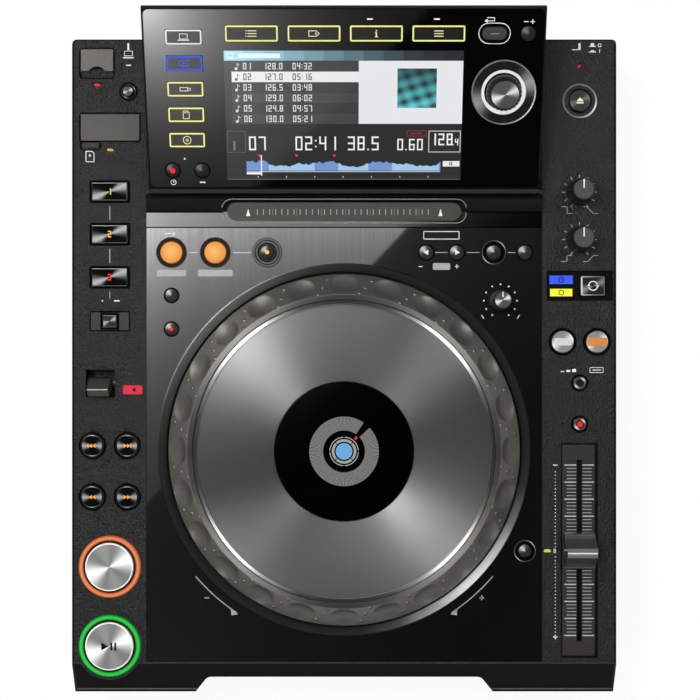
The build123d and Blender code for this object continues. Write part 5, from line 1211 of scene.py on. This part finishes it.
def screen_picture():
    """The lit picture behind the glass: bars and numerals, each plate with its own colour."""
    quads, tints = [], []

    def paint(shape, code, level=1):
        """Adds flat plates of one written colour, some layers up."""
        quads.append(layer(shape, 0.02 * level))
        tints.append(np.tile(linear(code), (len(shape), 1)))

    paint(bar(-67.7, 4.2, 67.5, 78.1), "0a0b0e", 1)
    # title strip: the share of the pale end is the square of the way left to the dark end
    strip_left, strip_step, strip_parts = -67.7, 11.267, 12
    for step in range(strip_parts):
        share = (1 - step / (strip_parts - 1)) ** 2
        start = strip_left + strip_step * step
        quads.append(layer(bar(start, 72.6, strip_left + 11.26 + strip_step * step, 78.1), 0.04))
        tone = share * np.array(linear("a0d8f0")) + (1 - share) * np.array(linear("040810"))
        tints.append(np.tile(tone, (1, 1)))
    paint(line([(-65.6, 74.6), (-65.6, 76.8), (-62.4, 76.8), (-62.4, 74.6), (-65.6, 74.6)], 0.35),
          "f2f8fa", 3)
    paint(bar(-66.4, 73.6, -61.6, 74.0), "f2f8fa", 3)
    paint(bar(-59.6, 74.0, -36.0, 76.6), "dceef4", 3)
    for step, name in enumerate(("01 128.0 04:32", "02 127.0 05:16", "03 126.5 03:48",
                                 "04 129.0 06:02", "05 124.8 04:57", "06 130.0 05:21")):
        top = 72.4 - 5.97 * step
        chosen = step == 1
        shade_code = "e6e6e6" if chosen else ("2c2c2e", "38383a")[step % 2]
        paint(bar(-63.6, top - 5.9, 8.4, top), shade_code, 2)
        ink = "3c3c3c" if chosen else "dadada"
        paint(arc(-61.0, top - 4.4, 0.01, 0.8, steps=10), ink, 3)
        paint(line([(-60.3, top - 4.2), (-60.3, top - 1.4), (-59.2, top - 2.3)], 0.3), ink, 3)
        u = -57.0
        for word in name.split(" "):
            paint(digits(word, u, top - 4.75, 3.7, 0.14), ink, 3)
            u += len(word.replace(".", "").replace(":", "")) * 2.59 + 6.2
    paint(bar(-67.6, 36.7, -63.8, 72.4), "18181a", 2)
    paint(bar(8.4, 36.8, 67.4, 72.5), "e4e4e8", 3)
    paint(tri((8.45, 66.0), (5.4, 63.5), (8.45, 61.0)), "e4e4e8", 4)

    # picture of slanting bands: a cell's light is the sum of two waves along its diagonal
    n = 22
    i, j = np.meshgrid(np.arange(n), np.arange(n), indexing="ij")
    wave = 0.5 + 0.3 * np.sin(0.9 * i + 0.25 * j) + 0.2 * np.sin(0.35 * i - 0.8 * j + 1.0)
    glow = np.clip(wave, 0, 1) * (0.15 + 0.85 * (i / n))
    cell = 22.3 / n
    spots = np.stack([30.3 + j * cell, 68.2 - (i + 1) * cell], -1).reshape(-1, 1, 2)
    square = np.array([[[0, 0], [cell, 0], [cell, cell], [0, cell]]])
    quads.append(layer(spots + square, 0.08))
    mix = glow.reshape(-1, 1)
    tints.append((1 - mix) * np.array(linear("041418")) + mix * np.array(linear("5cd8e0")))

    paint(frame_line(-67.0, 20.2, -56.5, 32.7, 0.3), "5a5a5c", 2)
    paint(digits("1", -65.2, 21.4, 5.4, 0.2), "707072", 2)
    paint(digits("07", -54.6, 21.5, 8.0, 0.11), "ececec", 2)
    paint(digits("02:41", -27.9, 21.5, 8.0, 0.11), "ececec", 2)
    paint(digits("38.5", 2.2, 21.5, 8.0, 0.11), "ececec", 2)
    paint(digits("0.60", 30.6, 21.5, 6.6, 0.12), "ececec", 2)
    paint(frame_line(36.0, 29.6, 47.2, 32.9, 0.35), "8c1c24", 2)
    paint(bar(38.2, 30.9, 45.0, 31.6), "8c1c24", 2)
    paint(frame_line(48.5, 20.3, 66.9, 32.8, 0.4), "dcdcdc", 2)
    paint(digits("128", 49.4, 24.4, 6.8, 0.13), "ececec", 2)
    paint(digits(".4", 62.4, 24.4, 3.8, 0.15), "ececec", 2)

    # track picture: bars whose height is three slow waves multiplied by a fine ripple
    count = 148
    spot = np.linspace(0, 1, count, endpoint=False)
    level = (0.62 + 0.2 * np.sin(2 * pi * (3 * spot + 0.1)) + 0.1 * np.sin(2 * pi * 5 * spot)
             + 0.06 * np.cos(2 * pi * 11 * spot))
    ripple = 1 - 0.22 * np.abs(np.sin(37.0 * spot) * np.sin(91.0 * spot + 0.6))
    u0 = -56.3 + 111.9 * spot
    height = 6.9 * level * ripple
    wide = 111.9 / count
    bars = np.stack([
        np.stack([u0, 0 * u0 + 9.6], 1), np.stack([u0 + wide, 0 * u0 + 9.6], 1),
        np.stack([u0 + wide, 9.6 + height], 1), np.stack([u0, 9.6 + height], 1)], 1)
    quads.append(layer(bars, 0.04))
    pale = (level < 0.7)[:, None]
    tints.append(np.where(pale, np.array(linear("9cc4e8")), np.array(linear("6c90cc"))))
    paint(bar(-56.3, 8.8, 55.6, 9.2), "d8d8d8", 2)
    paint(bar(-56.3, 7.4, -47.6, 8.6), "f0f0f0", 2)
    paint(bar(-48.0, 6.6, -47.4, 18.6), "f4f4f4", 3)
    for u in (-48.8, -27.4, -5.6):
        paint(tri((u - 1.0, 19.0), (u + 1.0, 19.0), (u, 17.4)), "e02424", 4)
    for step in range(7):
        paint(bar(-50.0 + 16.4 * step, 5.4, -49.5 + 16.4 * step, 6.4), "c8c8c8", 2)
    paint(bar(-67.0, 4.4, 67.0, 4.7), "6c6c6e", 2)
    paint(bar(57.0, 12.0, 66.6, 15.2), "e8e8e8", 2)
    paint(digits("16", 60.0, 12.6, 2.1, 0.18), "202020", 3)
    paint(bar(57.0, 8.2, 66.6, 10.4), "2c0808", 2)
    paint(bar(57.0, 5.4, 66.6, 7.4), "0a2408", 2)
    return marks("screen_picture", np.concatenate(quads), (0, 0), screen_glow, "base", up_slope,
                 np.concatenate(tints), on="lcd_module", thick=0.015)


screen_picture()


# ---------------------------------------------------------------- prints
def print_on(name, parts, material, height=deck + 0.03, on="upper_case", body="base"):
    """Flat marks in one ink on the deck."""
    return marks(name, layer(np.concatenate(parts), height), (0, 0), material, body, on=on)


def chevrons(x, y, size, way, blocked):
    """Two triangles one after the other, and a bar before them for the track keys."""
    a, b = (x - way * size, x)
    parts = [tri((a, y - size * 0.62), (a, y + size * 0.62), (a + way * size, y)),
             tri((b, y - size * 0.62), (b, y + size * 0.62), (b + way * size, y))]
    if blocked:
        end = x + way * size
        parts.append(bar(min(end, end + way * 0.5), y - size * 0.62,
                         max(end, end + way * 0.5), y + size * 0.62))
    return np.concatenate(parts)


def left_strip_prints():
    """Stick, computer and card signs, joining lines and marks of the left strip."""
    print_on("left_signs", [
        bar(-127.2, 176.0, -126.1, 179.9),
        line([(-128.9, 172.6), (-128.9, 175.4), (-124.2, 175.4), (-124.2, 172.6),
              (-128.9, 172.6)], 0.4),
        bar(-129.8, 171.1, -123.4, 171.8), bar(-128.0, 166.7, -125.1, 167.4),
        line([(-151.5, 110.5), (-151.5, 116.6), (-148.0, 116.6), (-146.8, 115.4), (-146.8, 110.5),
              (-151.5, 110.5)], 0.45),
        tri((-149.9, 113.6), (-148.5, 113.6), (-149.2, 115.2)),
        bar(-142.2, 28.4, -141.4, 29.2), bar(-134.9, 28.5, -131.8, 29.2),
    ], white_print)
    print_on("left_lines", [
        bar(-137.75, 76.4, -137.25, 84.4), bar(-137.75, 51.0, -137.25, 59.4),
        bar(-137.75, 30.4, -137.25, 34.3),
    ], grey_print_and_highlight)
    print_on("card_tab", [bar(-153.7, 118.9, -144.0, 121.7)], olive_print)
    print_on("rec_window", [bar(-148.6, 11.7, -143.1, 22.1), bar(-131.9, 11.7, -126.4, 22.1)],
             olive_print)
    # Dark plates on the chamfers along the case's sides and a dark band round its top edges: painted
    # shade where the edges turn away from the light.
    flank = np.array([[-159.02, -182.9, 64.02], [-159.76, -182.9, 63.28],
                      [-159.76, 179.4, 63.28], [-159.02, 179.4, 64.02]])
    marks("case_flanks", [flank, flank * [-1, 1, 1]], (0, 0), dark_print_and_shade, "base", on="upper_case",
          thick=0.01)
    print_on("case_edges", [
        bar(-159.0, -183.0, -158.45, 179.6), bar(158.45, -183.0, 159.0, 179.6),
        bar(-156.4, 181.5, -116.4, 182.1), bar(116.4, 181.5, 156.4, 182.1),
        arc(-156.4, 179.6, 2.05, 2.55, 90, 180, 8), arc(156.4, 179.6, 2.05, 2.55, 0, 90, 8),
    ], dark_print_and_shade)
    print_on("reverse_chip", [bar(-129.7, -25.9, -118.5, -20.8)], red_print)
    sign = np.concatenate([tri((-122.4, -22.0), (-122.4, -24.7), (-124.9, -23.35))])
    print_on("reverse_sign", [sign], dark_print_and_shade, deck + 0.06)
    for node, text, code in (("hot_cue_1", "1", lime_light), ("hot_cue_2", "2", amber_light),
                             ("hot_cue_3", "3", red_light)):
        centre, _, top, _ = middle(node)
        width = 1.9
        marks(node + "_numeral", layer(digits(text, -width / 2, -1.9, 3.8, 0.17), top + 0.05),
              centre, code, node)
    for node, way, blocked in (("track_back_key", -1, True), ("track_next_key", 1, True),
                               ("search_back_key", -1, False), ("search_next_key", 1, False)):
        centre, _, top, _ = middle(node)
        marks(node + "_sign", layer(chevrons(0, 0, 2.0, way, blocked), top + 0.07), centre,
              orange_mark, node)


def right_strip_prints():
    """Power and eject signs, knob scales, lit chips and the tempo scale of the right strip."""
    ticks = [arc(0, 0, 8.3, 10.2, a - 1.6, a + 1.6, 1) for a in range(-60, 241, 30)]
    scale = np.concatenate(ticks)
    print_on("right_signs", [
        line([(134.0, 176.2), (137.4, 176.2)], 0.45), bar(137.5, 176.0, 138.7, 180.0),
        bar(143.6, 177.9, 147.8, 178.4), bar(144.7, 178.4, 146.7, 180.0),
        bar(143.6, 174.6, 147.8, 175.1), bar(144.7, 175.1, 146.7, 175.9),
        arc(149.9, 178.8, 0.75, 1.1), bar(149.7, 174.3, 150.1, 176.5),
    ], white_print)
    print_on("knob_scales", [
        scale + [138.1, 92.6], scale + [138.1, 64.8],
        line([(127.8, 84.1), (130.8, 84.1), (130.8, 80.1), (134.0, 80.1)], 0.5),
        line([(140.7, 84.1), (142.4, 84.1), (146.2, 80.1), (148.8, 80.1)], 0.5),
        line([(127.5, 51.9), (130.7, 51.9), (130.7, 55.5), (133.6, 55.5)], 0.5),
        line([(140.5, 51.9), (142.8, 51.9), (146.4, 55.5), (148.6, 55.5)], 0.5),
    ], grey_print_and_highlight)
    print_on("tempo_ranges", [
        *(bar(127.0 + 3.4 * step, -12.9, 129.2 + 3.4 * step, -12.3 + 0.6 * step)
          for step in range(3)),
        line([(144.2, -13.2), (144.2, -10.3), (152.0, -10.3), (152.0, -13.2), (144.2, -13.2)], 0.35),
        bar(145.6, -12.0, 150.6, -11.5),
    ], white_print)
    centre, _, top, _ = middle("eject_button")
    sign = np.concatenate([tri((-2.0, -0.4), (2.0, -0.4), (0, 1.9)), bar(-2.0, -1.7, 2.0, -0.9)])
    marks("eject_sign", layer(sign, top + 0.06), centre, pale_light, "eject_button")
    print_on("mode_floor", [bar(119.3, 29.5, 157.2, 46.0)], dark_print_and_shade, deck - 0.36)
    print_on("chip_disc_blue", [bar(120.5, 38.7, 134.2, 43.7)], chip_blue, deck + 0.05)
    print_on("chip_disc_yellow", [bar(120.8, 31.5, 133.9, 35.9)], chip_yellow, deck + 0.05)
    print_on("chip_signs", [
        arc(127.35, 41.2, 1.3, 1.75, steps=20), arc(127.35, 41.2, 0.01, 0.5, steps=10),
        arc(127.35, 33.7, 1.2, 1.65, steps=20),
    ], dark_print_and_shade, deck + 0.08)
    for node, width, depth, glow in (("sync_key", 9.9, 4.3, chip_white),
                                     ("master_key", 11.7, 4.9, chip_orange)):
        centre, _, top, _ = middle(node)
        levels = [(0, top - 0.1), (0, top + 0.04), (-0.1, top + 0.08)]
        dress(block(node + "_chip", slab(width, depth, 0.5), levels, centre), glow, node)
    mode, _, top, _ = middle("jog_mode_key")
    arrows = np.concatenate([arc(0, 0, 2.3, 2.9, 20, 160, 12), arc(0, 0, 2.3, 2.9, 200, 340, 12),
                             tri((1.6, 0.2), (3.6, 0.2), (2.6, -1.2)),
                             tri((-1.6, -0.2), (-3.6, -0.2), (-2.6, 1.2))])
    marks("jog_mode_sign", layer(arrows, top + 0.05), mode, white_print, "jog_mode_key")
    spot, _, top, _ = middle("master_tempo_key")
    marks("master_tempo_lamp", layer(arc(0, 0, 0.01, 1.6, steps=20), top + 0.08), spot, red_light,
          "master_tempo_key")


def fader_prints():
    """Ticks of the tempo scale on the plate, every fifth one full, and its dotted column."""
    full, part = [], []
    for step in range(51):
        y = -67.5 - 2.0 * step
        if step % 5 == 0:
            full.append(bar(129.2, y - 0.32, 136.2, y + 0.32))
            full.append(bar(139.8, y - 0.32, 146.6, y + 0.32))
        else:
            part.append(bar(130.6, y - 0.22, 136.2, y + 0.22))
            part.append(bar(139.8, y - 0.22, 145.2, y + 0.22))
    print_on("fader_majors", full, soft_print, on="fader_plate")
    print_on("fader_minors", part, grey_print_and_highlight, on="fader_plate")
    dots = [bar(123.62, y - 0.28, 124.18, y + 0.28) for y in np.arange(-71.5, -166.0, -2.0)
            if abs(y + 117.9) > 2.4]
    signs = [bar(122.6, -67.8, 125.2, -67.2), bar(122.6, -168.7, 125.2, -168.1),
             bar(123.6, -169.7, 124.2, -167.1), digits("0", 122.9, -119.2, 2.6, 0.17)]
    print_on("tempo_column", dots + signs, white_print)
    # The wide bar on the right of the plate is a painted shadow; the thin bars round the other sides are
    # its dark border.
    print_on("fader_border_and_shadow", [bar(146.9, -180.4, 148.6, -54.8), bar(127.4, -55.6, 146.9, -54.8),
                              bar(127.4, -180.4, 128.0, -55.6), bar(128.0, -180.4, 146.9, -179.2)],
             dark_print_and_shade, deck + 0.04, on="fader_plate")


def panel_prints():
    """Joining lines, blank label chips, knob dots and the two long arrows of the centre panel."""
    y = key_field_y
    spot, _, top, _ = middle("jog_adjust_knob")
    dots = [arc(spot[0] + 9.7 * cos(a), spot[1] + 9.7 * sin(a), 0.01, 0.5, steps=10)
            for a in np.radians(np.arange(-60, 241, 30))]
    chips = []
    for x0, x1 in ((-109.8, -92.7), (-85.8, -65.4)):
        chips.append(plaque(x0, 43.2, x1, 47.1, 0.9))
    print_on("panel_chips", chips + [plaque(52.0, 47.0, 62.2, 51.0, 0.9)], grey_print_and_highlight,
             on="deck_panel")
    print_on("loop_lines", [bar(-91.1, y - 0.25, -86.0, y + 0.25),
                            bar(-65.0, y - 0.25, -54.7, y + 0.25)], soft_print, on="deck_panel")
    print_on("call_lines", [bar(x0, y - 0.25, x1, y + 0.25)
                            for x0, x1 in ((53.5, 60.7), (72.0, 79.3), (96.3, 100.3))], grey_print_and_highlight,
             on="deck_panel")
    print_on("panel_lines", [
        bar(-104.8, 67.9, -101.7, 68.6),
        arc(-99.8, 68.2, 0.01, 0.8, steps=12),
        line([(46.7, 65.1), (46.7, 69.5), (67.4, 69.5), (67.4, 65.1), (46.7, 65.1)], 0.45),
        bar(43.6, 48.8, 46.0, 49.2), bar(65.0, 48.8, 67.4, 49.2), bar(66.0, 47.8, 66.4, 50.2),
        line([(80.6, 20.4), (81.9, 18.6)], 0.45), line([(101.6, 18.6), (102.9, 20.4)], 0.45),
        *dots,
    ], white_print, on="deck_panel")
    for node, way in (("call_back_key", -1), ("call_next_key", 1)):
        centre, _, top, _ = middle(node)
        sign = tri((-way * 1.1, -1.5), (-way * 1.1, 1.5), (way * 1.6, 0))
        marks(node + "_sign", layer(sign, top + 0.03), centre, white_print, node)
    for node, ink, size in (("reloop_key", amber_light, 1.2), ("slip_key", red_light, 1.1)):
        centre, _, top, _ = middle(node)
        marks(node + "_lamp", layer(arc(0, 0, 0.01, size, steps=18), top + 0.03), centre, ink, node)
    arms = [arc(0, jog_y, 114.2, 114.8, 220.5, 236.5, 12), arc(0, jog_y, 114.2, 114.8, 303.5, 319.5, 12)]
    for side in (-1, 1):
        tip = np.array([side * 62.2, -155.0])
        back = np.array([side * 66.4, -153.6])
        arms.append(tri(tip, back + [side * 0.2, 1.9], back + [side * -0.3, -2.2]))
    signs = [bar(-81.9, -145.8, -79.1, -145.1), bar(79.3, -145.8, 82.1, -145.1),
             bar(80.35, -146.85, 81.05, -144.05)]
    print_on("jog_arrows", arms + signs, grey_print_and_highlight, on="deck_panel")


def needle_prints():
    """Ticks, fine pairs and end triangles on the needle search pad."""
    xs = np.arange(-50.9, 50.0, 3.58)
    ticks = [bar(x - 0.22, 79.3, x + 0.22, 82.6) for x in xs]
    ticks += [bar(x + 1.6, 78.9, x + 1.75, 82.9) for x in xs[2::4]]
    ends = [tri((x - 1.2, 78.6), (x + 1.2, 78.6), (x, 82.8)) for x in (-56.3, 56.5)]
    print_on("needle_ticks", ticks, grey_print_and_highlight, deck + 0.23, on="needle_pad")
    print_on("needle_ends", ends, white_print, deck + 0.23, on="needle_pad")


def needle_outline():
    """A thin painted highlight round the needle channel's edge. It lies on the lip and climbs the
    rounded wedge
    behind it: the wedge's chord and its rise, which is a parabola over the chord."""
    outer, inner = (slab(142.0 + 2 * w, 12.6 + 2 * w, 5.2 + w, 12, 30) for w in (0.75, 0.3))
    flat = np.stack([inner, outer, np.roll(outer, -1, axis=0), np.roll(inner, -1, axis=0)], 1)
    t = np.clip((flat[..., 1] + 81.3 - 80.6) / 7.3, 0, 1)
    lift = 64.78 + 2.9 * t + 2.2 * t * (1 - t)
    marks("needle_outline", np.concatenate([flat, lift[..., None]], -1), (0, 81.3), channel_edge_highlight,
          "base", on="display_housing")


needle_outline()
left_strip_prints()
right_strip_prints()
fader_prints()
panel_prints()
needle_prints()


def apron_shade_and_highlights():
    """The apron's darker band and its fine lines: the band is painted shade, a darker, duller skin on
    the slope below the deck's front edge, and the lines are painted highlights along the nose and along
    that edge. In front they stop at the notch, whose sides flare as they come forward."""
    notch_y, half, flare = -193.0, 80.7, 8.3 / 10.95

    def lifted(flat, raise_by=0.04):
        """Lays flat quads on the slope that falls from the deck's front edge."""
        z = deck + raise_by + (flat[..., 1] - deck_front) * apron_drop / apron_run
        return np.concatenate([flat, z[..., None]], -1)

    def wings(y0, y1):
        """The two plates beside the notch, whose inner edges follow its flare."""
        quads = []
        for side in (-1, 1):
            near, far = (side * (half + 0.5 + flare * (notch_y - y)) for y in (y1, y0))
            edge = side * 158.6
            quad = [[near, y1], [far, y0], [edge, y0], [edge, y1]]
            quads.append(quad if side > 0 else quad[::-1])
        return np.array(quads)

    # A darker, duller skin over the apron: painted shade; the two lines below are painted highlights.
    face = np.concatenate([wings(-202.7, notch_y + 0.5), bar(-158.6, notch_y + 0.5, 158.6, -184.0)])
    marks("apron_dark_shade", lifted(face), (0, 0), apron_shade_skin, "base", on="upper_case")
    marks("apron_nose_highlight", lifted(wings(-201.4, -200.7), 0.07), (0, 0), sheen_highlight_grey, "base",
          on="upper_case")
    marks("apron_edge_highlight", lifted(bar(-158.6, -184.0, 158.6, -183.5)), (0, 0), front_edge_highlight,
          "base", on="upper_case")


apron_shade_and_highlights()


# ---------------------------------------------------------------- stage, light and camera
def lay_floor():
    """A wide pale floor under the feet."""
    half = 3.0
    mesh = bpy.data.meshes.new("floor")
    mesh.from_pydata([(-half, -half, 0), (half, -half, 0), (half, half, 0), (-half, half, 0)],
                     [], [(0, 1, 2, 3)])
    floor = bpy.data.objects.new("floor", mesh)
    bpy.context.scene.collection.objects.link(floor)
    material = bpy.data.materials.new("floor_paint")
    material.use_nodes = True
    tree = material.node_tree
    shader = shader_of(material)
    shader.inputs["Base Color"].default_value = (0.9, 0.9, 0.9, 1)
    shader.inputs["Roughness"].default_value = 0.9
    output = tree.nodes["Material Output"]
    rays = tree.nodes.new("ShaderNodeLightPath")
    seen = tree.nodes.new("ShaderNodeMath")
    seen.operation = "MAXIMUM"
    tree.links.new(rays.outputs["Is Camera Ray"], seen.inputs[0])
    tree.links.new(rays.outputs["Is Glossy Ray"], seen.inputs[1])
    also = tree.nodes.new("ShaderNodeMath")
    also.operation = "MAXIMUM"
    tree.links.new(seen.outputs[0], also.inputs[0])
    tree.links.new(rays.outputs["Is Transmission Ray"], also.inputs[1])
    share = tree.nodes.new("ShaderNodeMath")
    share.operation = "MULTIPLY"
    share.inputs[1].default_value = 0.9
    tree.links.new(also.outputs[0], share.inputs[0])
    white = tree.nodes.new("ShaderNodeEmission")
    white.inputs["Color"].default_value = (1, 1, 1, 1)
    white.inputs["Strength"].default_value = 1.0
    mix = tree.nodes.new("ShaderNodeMixShader")
    tree.links.new(share.outputs[0], mix.inputs["Fac"])
    tree.links.new(shader.outputs["BSDF"], mix.inputs[1])
    tree.links.new(white.outputs["Emission"], mix.inputs[2])
    tree.links.new(mix.outputs["Shader"], output.inputs["Surface"])
    mesh.materials.append(material)


def light_world():
    """Soft grey fill; the low sky is white to the camera and to gloss, the ceiling is dim."""
    world = bpy.data.worlds.new("studio")
    bpy.context.scene.world = world
    world.use_nodes = True
    tree = world.node_tree
    for node in list(tree.nodes):
        tree.nodes.remove(node)
    output = tree.nodes.new("ShaderNodeOutputWorld")
    fill = tree.nodes.new("ShaderNodeBackground")
    fill.inputs["Color"].default_value = (1, 1, 1, 1)
    fill.inputs["Strength"].default_value = 0.14
    seen = tree.nodes.new("ShaderNodeBackground")
    seen.inputs["Strength"].default_value = 1.0
    coordinate = tree.nodes.new("ShaderNodeTexCoord")
    split = tree.nodes.new("ShaderNodeSeparateXYZ")
    ramp = tree.nodes.new("ShaderNodeValToRGB")
    ramp.color_ramp.elements[0].position = 0.02
    ramp.color_ramp.elements[0].color = (1, 1, 1, 1)
    ramp.color_ramp.elements[1].position = 0.5
    ramp.color_ramp.elements[1].color = (0.0006, 0.0006, 0.0007, 1)
    low_sky = ramp.color_ramp.elements.new(0.2)
    low_sky.color = (0.03, 0.03, 0.032, 1)
    tree.links.new(coordinate.outputs["Generated"], split.inputs[0])
    tree.links.new(split.outputs["Z"], ramp.inputs["Fac"])
    tree.links.new(ramp.outputs["Color"], seen.inputs["Color"])
    rays = tree.nodes.new("ShaderNodeLightPath")
    first = tree.nodes.new("ShaderNodeMath")
    first.operation = "MAXIMUM"
    second = tree.nodes.new("ShaderNodeMath")
    second.operation = "MAXIMUM"
    tree.links.new(rays.outputs["Is Camera Ray"], first.inputs[0])
    tree.links.new(rays.outputs["Is Glossy Ray"], first.inputs[1])
    tree.links.new(first.outputs[0], second.inputs[0])
    tree.links.new(rays.outputs["Is Transmission Ray"], second.inputs[1])
    mix = tree.nodes.new("ShaderNodeMixShader")
    tree.links.new(second.outputs[0], mix.inputs["Fac"])
    tree.links.new(fill.outputs[0], mix.inputs[1])
    tree.links.new(seen.outputs[0], mix.inputs[2])
    tree.links.new(mix.outputs[0], output.inputs["Surface"])


def calc(tree, operation, *values):
    """One arithmetic node; its inputs are numbers or other nodes' outputs."""
    node = tree.nodes.new("ShaderNodeMath")
    node.operation = operation
    for socket, value in zip(node.inputs, values):
        if isinstance(value, (int, float)):
            socket.default_value = value
        else:
            tree.links.new(value, socket)
    return node.outputs[0]


def softbox(name, centre, width, depth, radiance=1.0, aim=None):
    """A rectangular lamp of a radiance that faces down, or towards a point."""
    light = bpy.data.lights.new(name, "AREA")
    light.shape = "RECTANGLE"
    light.size, light.size_y = width, depth
    light.energy = radiance * pi * width * depth
    lamp = bpy.data.objects.new(name, light)
    bpy.context.scene.collection.objects.link(lamp)
    lamp.location = centre
    if aim is not None:
        lamp.rotation_euler = (Vector(aim) - Vector(centre)).to_track_quat("-Z", "Y").to_euler()
    lamp.visible_camera = False
    return lamp


def lamp_face(lamp):
    """The node tree of a lamp and the x and y of each point of its face."""
    lamp.data.use_nodes = True
    tree = lamp.data.node_tree
    place = tree.nodes.new("ShaderNodeNewGeometry")
    split = tree.nodes.new("ShaderNodeSeparateXYZ")
    tree.links.new(place.outputs["Position"], split.inputs[0])
    return tree, split.outputs["X"], split.outputs["Y"]


def beyond(tree, x, y, point, toward):
    """1 on the side of a straight edge through a point that a direction points to, else 0."""
    across = calc(tree, "MULTIPLY_ADD", x, toward[0], -point[0] * toward[0] - point[1] * toward[1])
    return calc(tree, "GREATER_THAN", calc(tree, "MULTIPLY_ADD", y, toward[1], across), 0.0)


def hang_lamps():
    """A graded softbox over the left of the deck, a second in front that the glass mirrors, and
    four soft lamps round the deck at half height."""
    deck_lamp = softbox("deck_softbox", (-0.12, 0.0, 1.264), 0.86, 0.84)
    tree, x, y = lamp_face(deck_lamp)
    climb = calc(tree, "EXPONENT", calc(tree, "MULTIPLY_ADD", y, 1 / 0.085, -0.148 / 0.085))
    level = calc(tree, "MINIMUM", calc(tree, "MULTIPLY_ADD", climb, 8.3, 0.35), 11.0)
    side = beyond(tree, x, y, (0.0924, 0.182), (-0.727, 0.686))
    slide = calc(tree, "EXPONENT", calc(tree, "MULTIPLY_ADD", x, -1 / 0.09, -0.277 / 0.09))
    left = calc(tree, "MINIMUM", calc(tree, "MULTIPLY_ADD", slide, 0.78, 0.5), 2.8)
    glow = calc(tree, "MULTIPLY", calc(tree, "MULTIPLY", level, left), side)
    tree.links.new(glow, tree.nodes["Emission"].inputs["Strength"])

    front = softbox("front_softbox", (-0.45, -1.32, 2.2), 2.0, 1.14)
    tree, x, y = lamp_face(front)
    off_x = calc(tree, "ADD", x, 0.435)
    off_y = calc(tree, "ADD", y, 0.80)
    span = calc(tree, "MULTIPLY_ADD", off_x, off_x, calc(tree, "MULTIPLY", off_y, off_y))
    distance = calc(tree, "SQRT", span)
    near = calc(tree, "EXPONENT", calc(tree, "MULTIPLY", distance, -1 / 0.105))
    wide = calc(tree, "EXPONENT", calc(tree, "MULTIPLY", distance, -1 / 0.42))
    level = calc(tree, "MULTIPLY_ADD", near, 18.0, calc(tree, "MULTIPLY", wide, 0.55))
    side = beyond(tree, x, y, (0.167, -0.804), (-0.76, 0.65))
    glow = calc(tree, "MULTIPLY", level, side)
    tree.links.new(glow, tree.nodes["Emission"].inputs["Strength"])

    hub = (0.0, jog_y * MM, 0.07)
    for name, azimuth, elevation, height, radiance in (
        ("lamp_rear_left", 135, 36, 0.72, 4.7), ("lamp_rear_right", 43, 43, 0.42, 6.6),
        ("lamp_front_left", 222, 43, 0.42, 5.1), ("lamp_front_right", 315, 43, 0.42, 4.7),
    ):
        turn, lift, reach = radians(azimuth), radians(elevation), 0.9
        spot = (hub[0] + reach * cos(lift) * cos(turn), hub[1] + reach * cos(lift) * sin(turn),
                hub[2] + reach * sin(lift))
        softbox(name, spot, 0.28, height, radiance, hub)


def aim_camera():
    """Straight down over the deck's middle, as far as the near deck's foreshortening asks."""
    camera = bpy.data.cameras.new("camera")
    camera.sensor_width = 36.0
    camera.lens = 74.5
    camera.clip_end = 20.0
    eye = bpy.data.objects.new("camera", camera)
    bpy.context.scene.collection.objects.link(eye)
    eye.location = (0.00343, 0.0, 0.914)
    bpy.context.scene.camera = eye


lay_floor()
light_world()
hang_lamps()
aim_camera()
bpy.context.scene.view_settings.view_transform = "Standard"
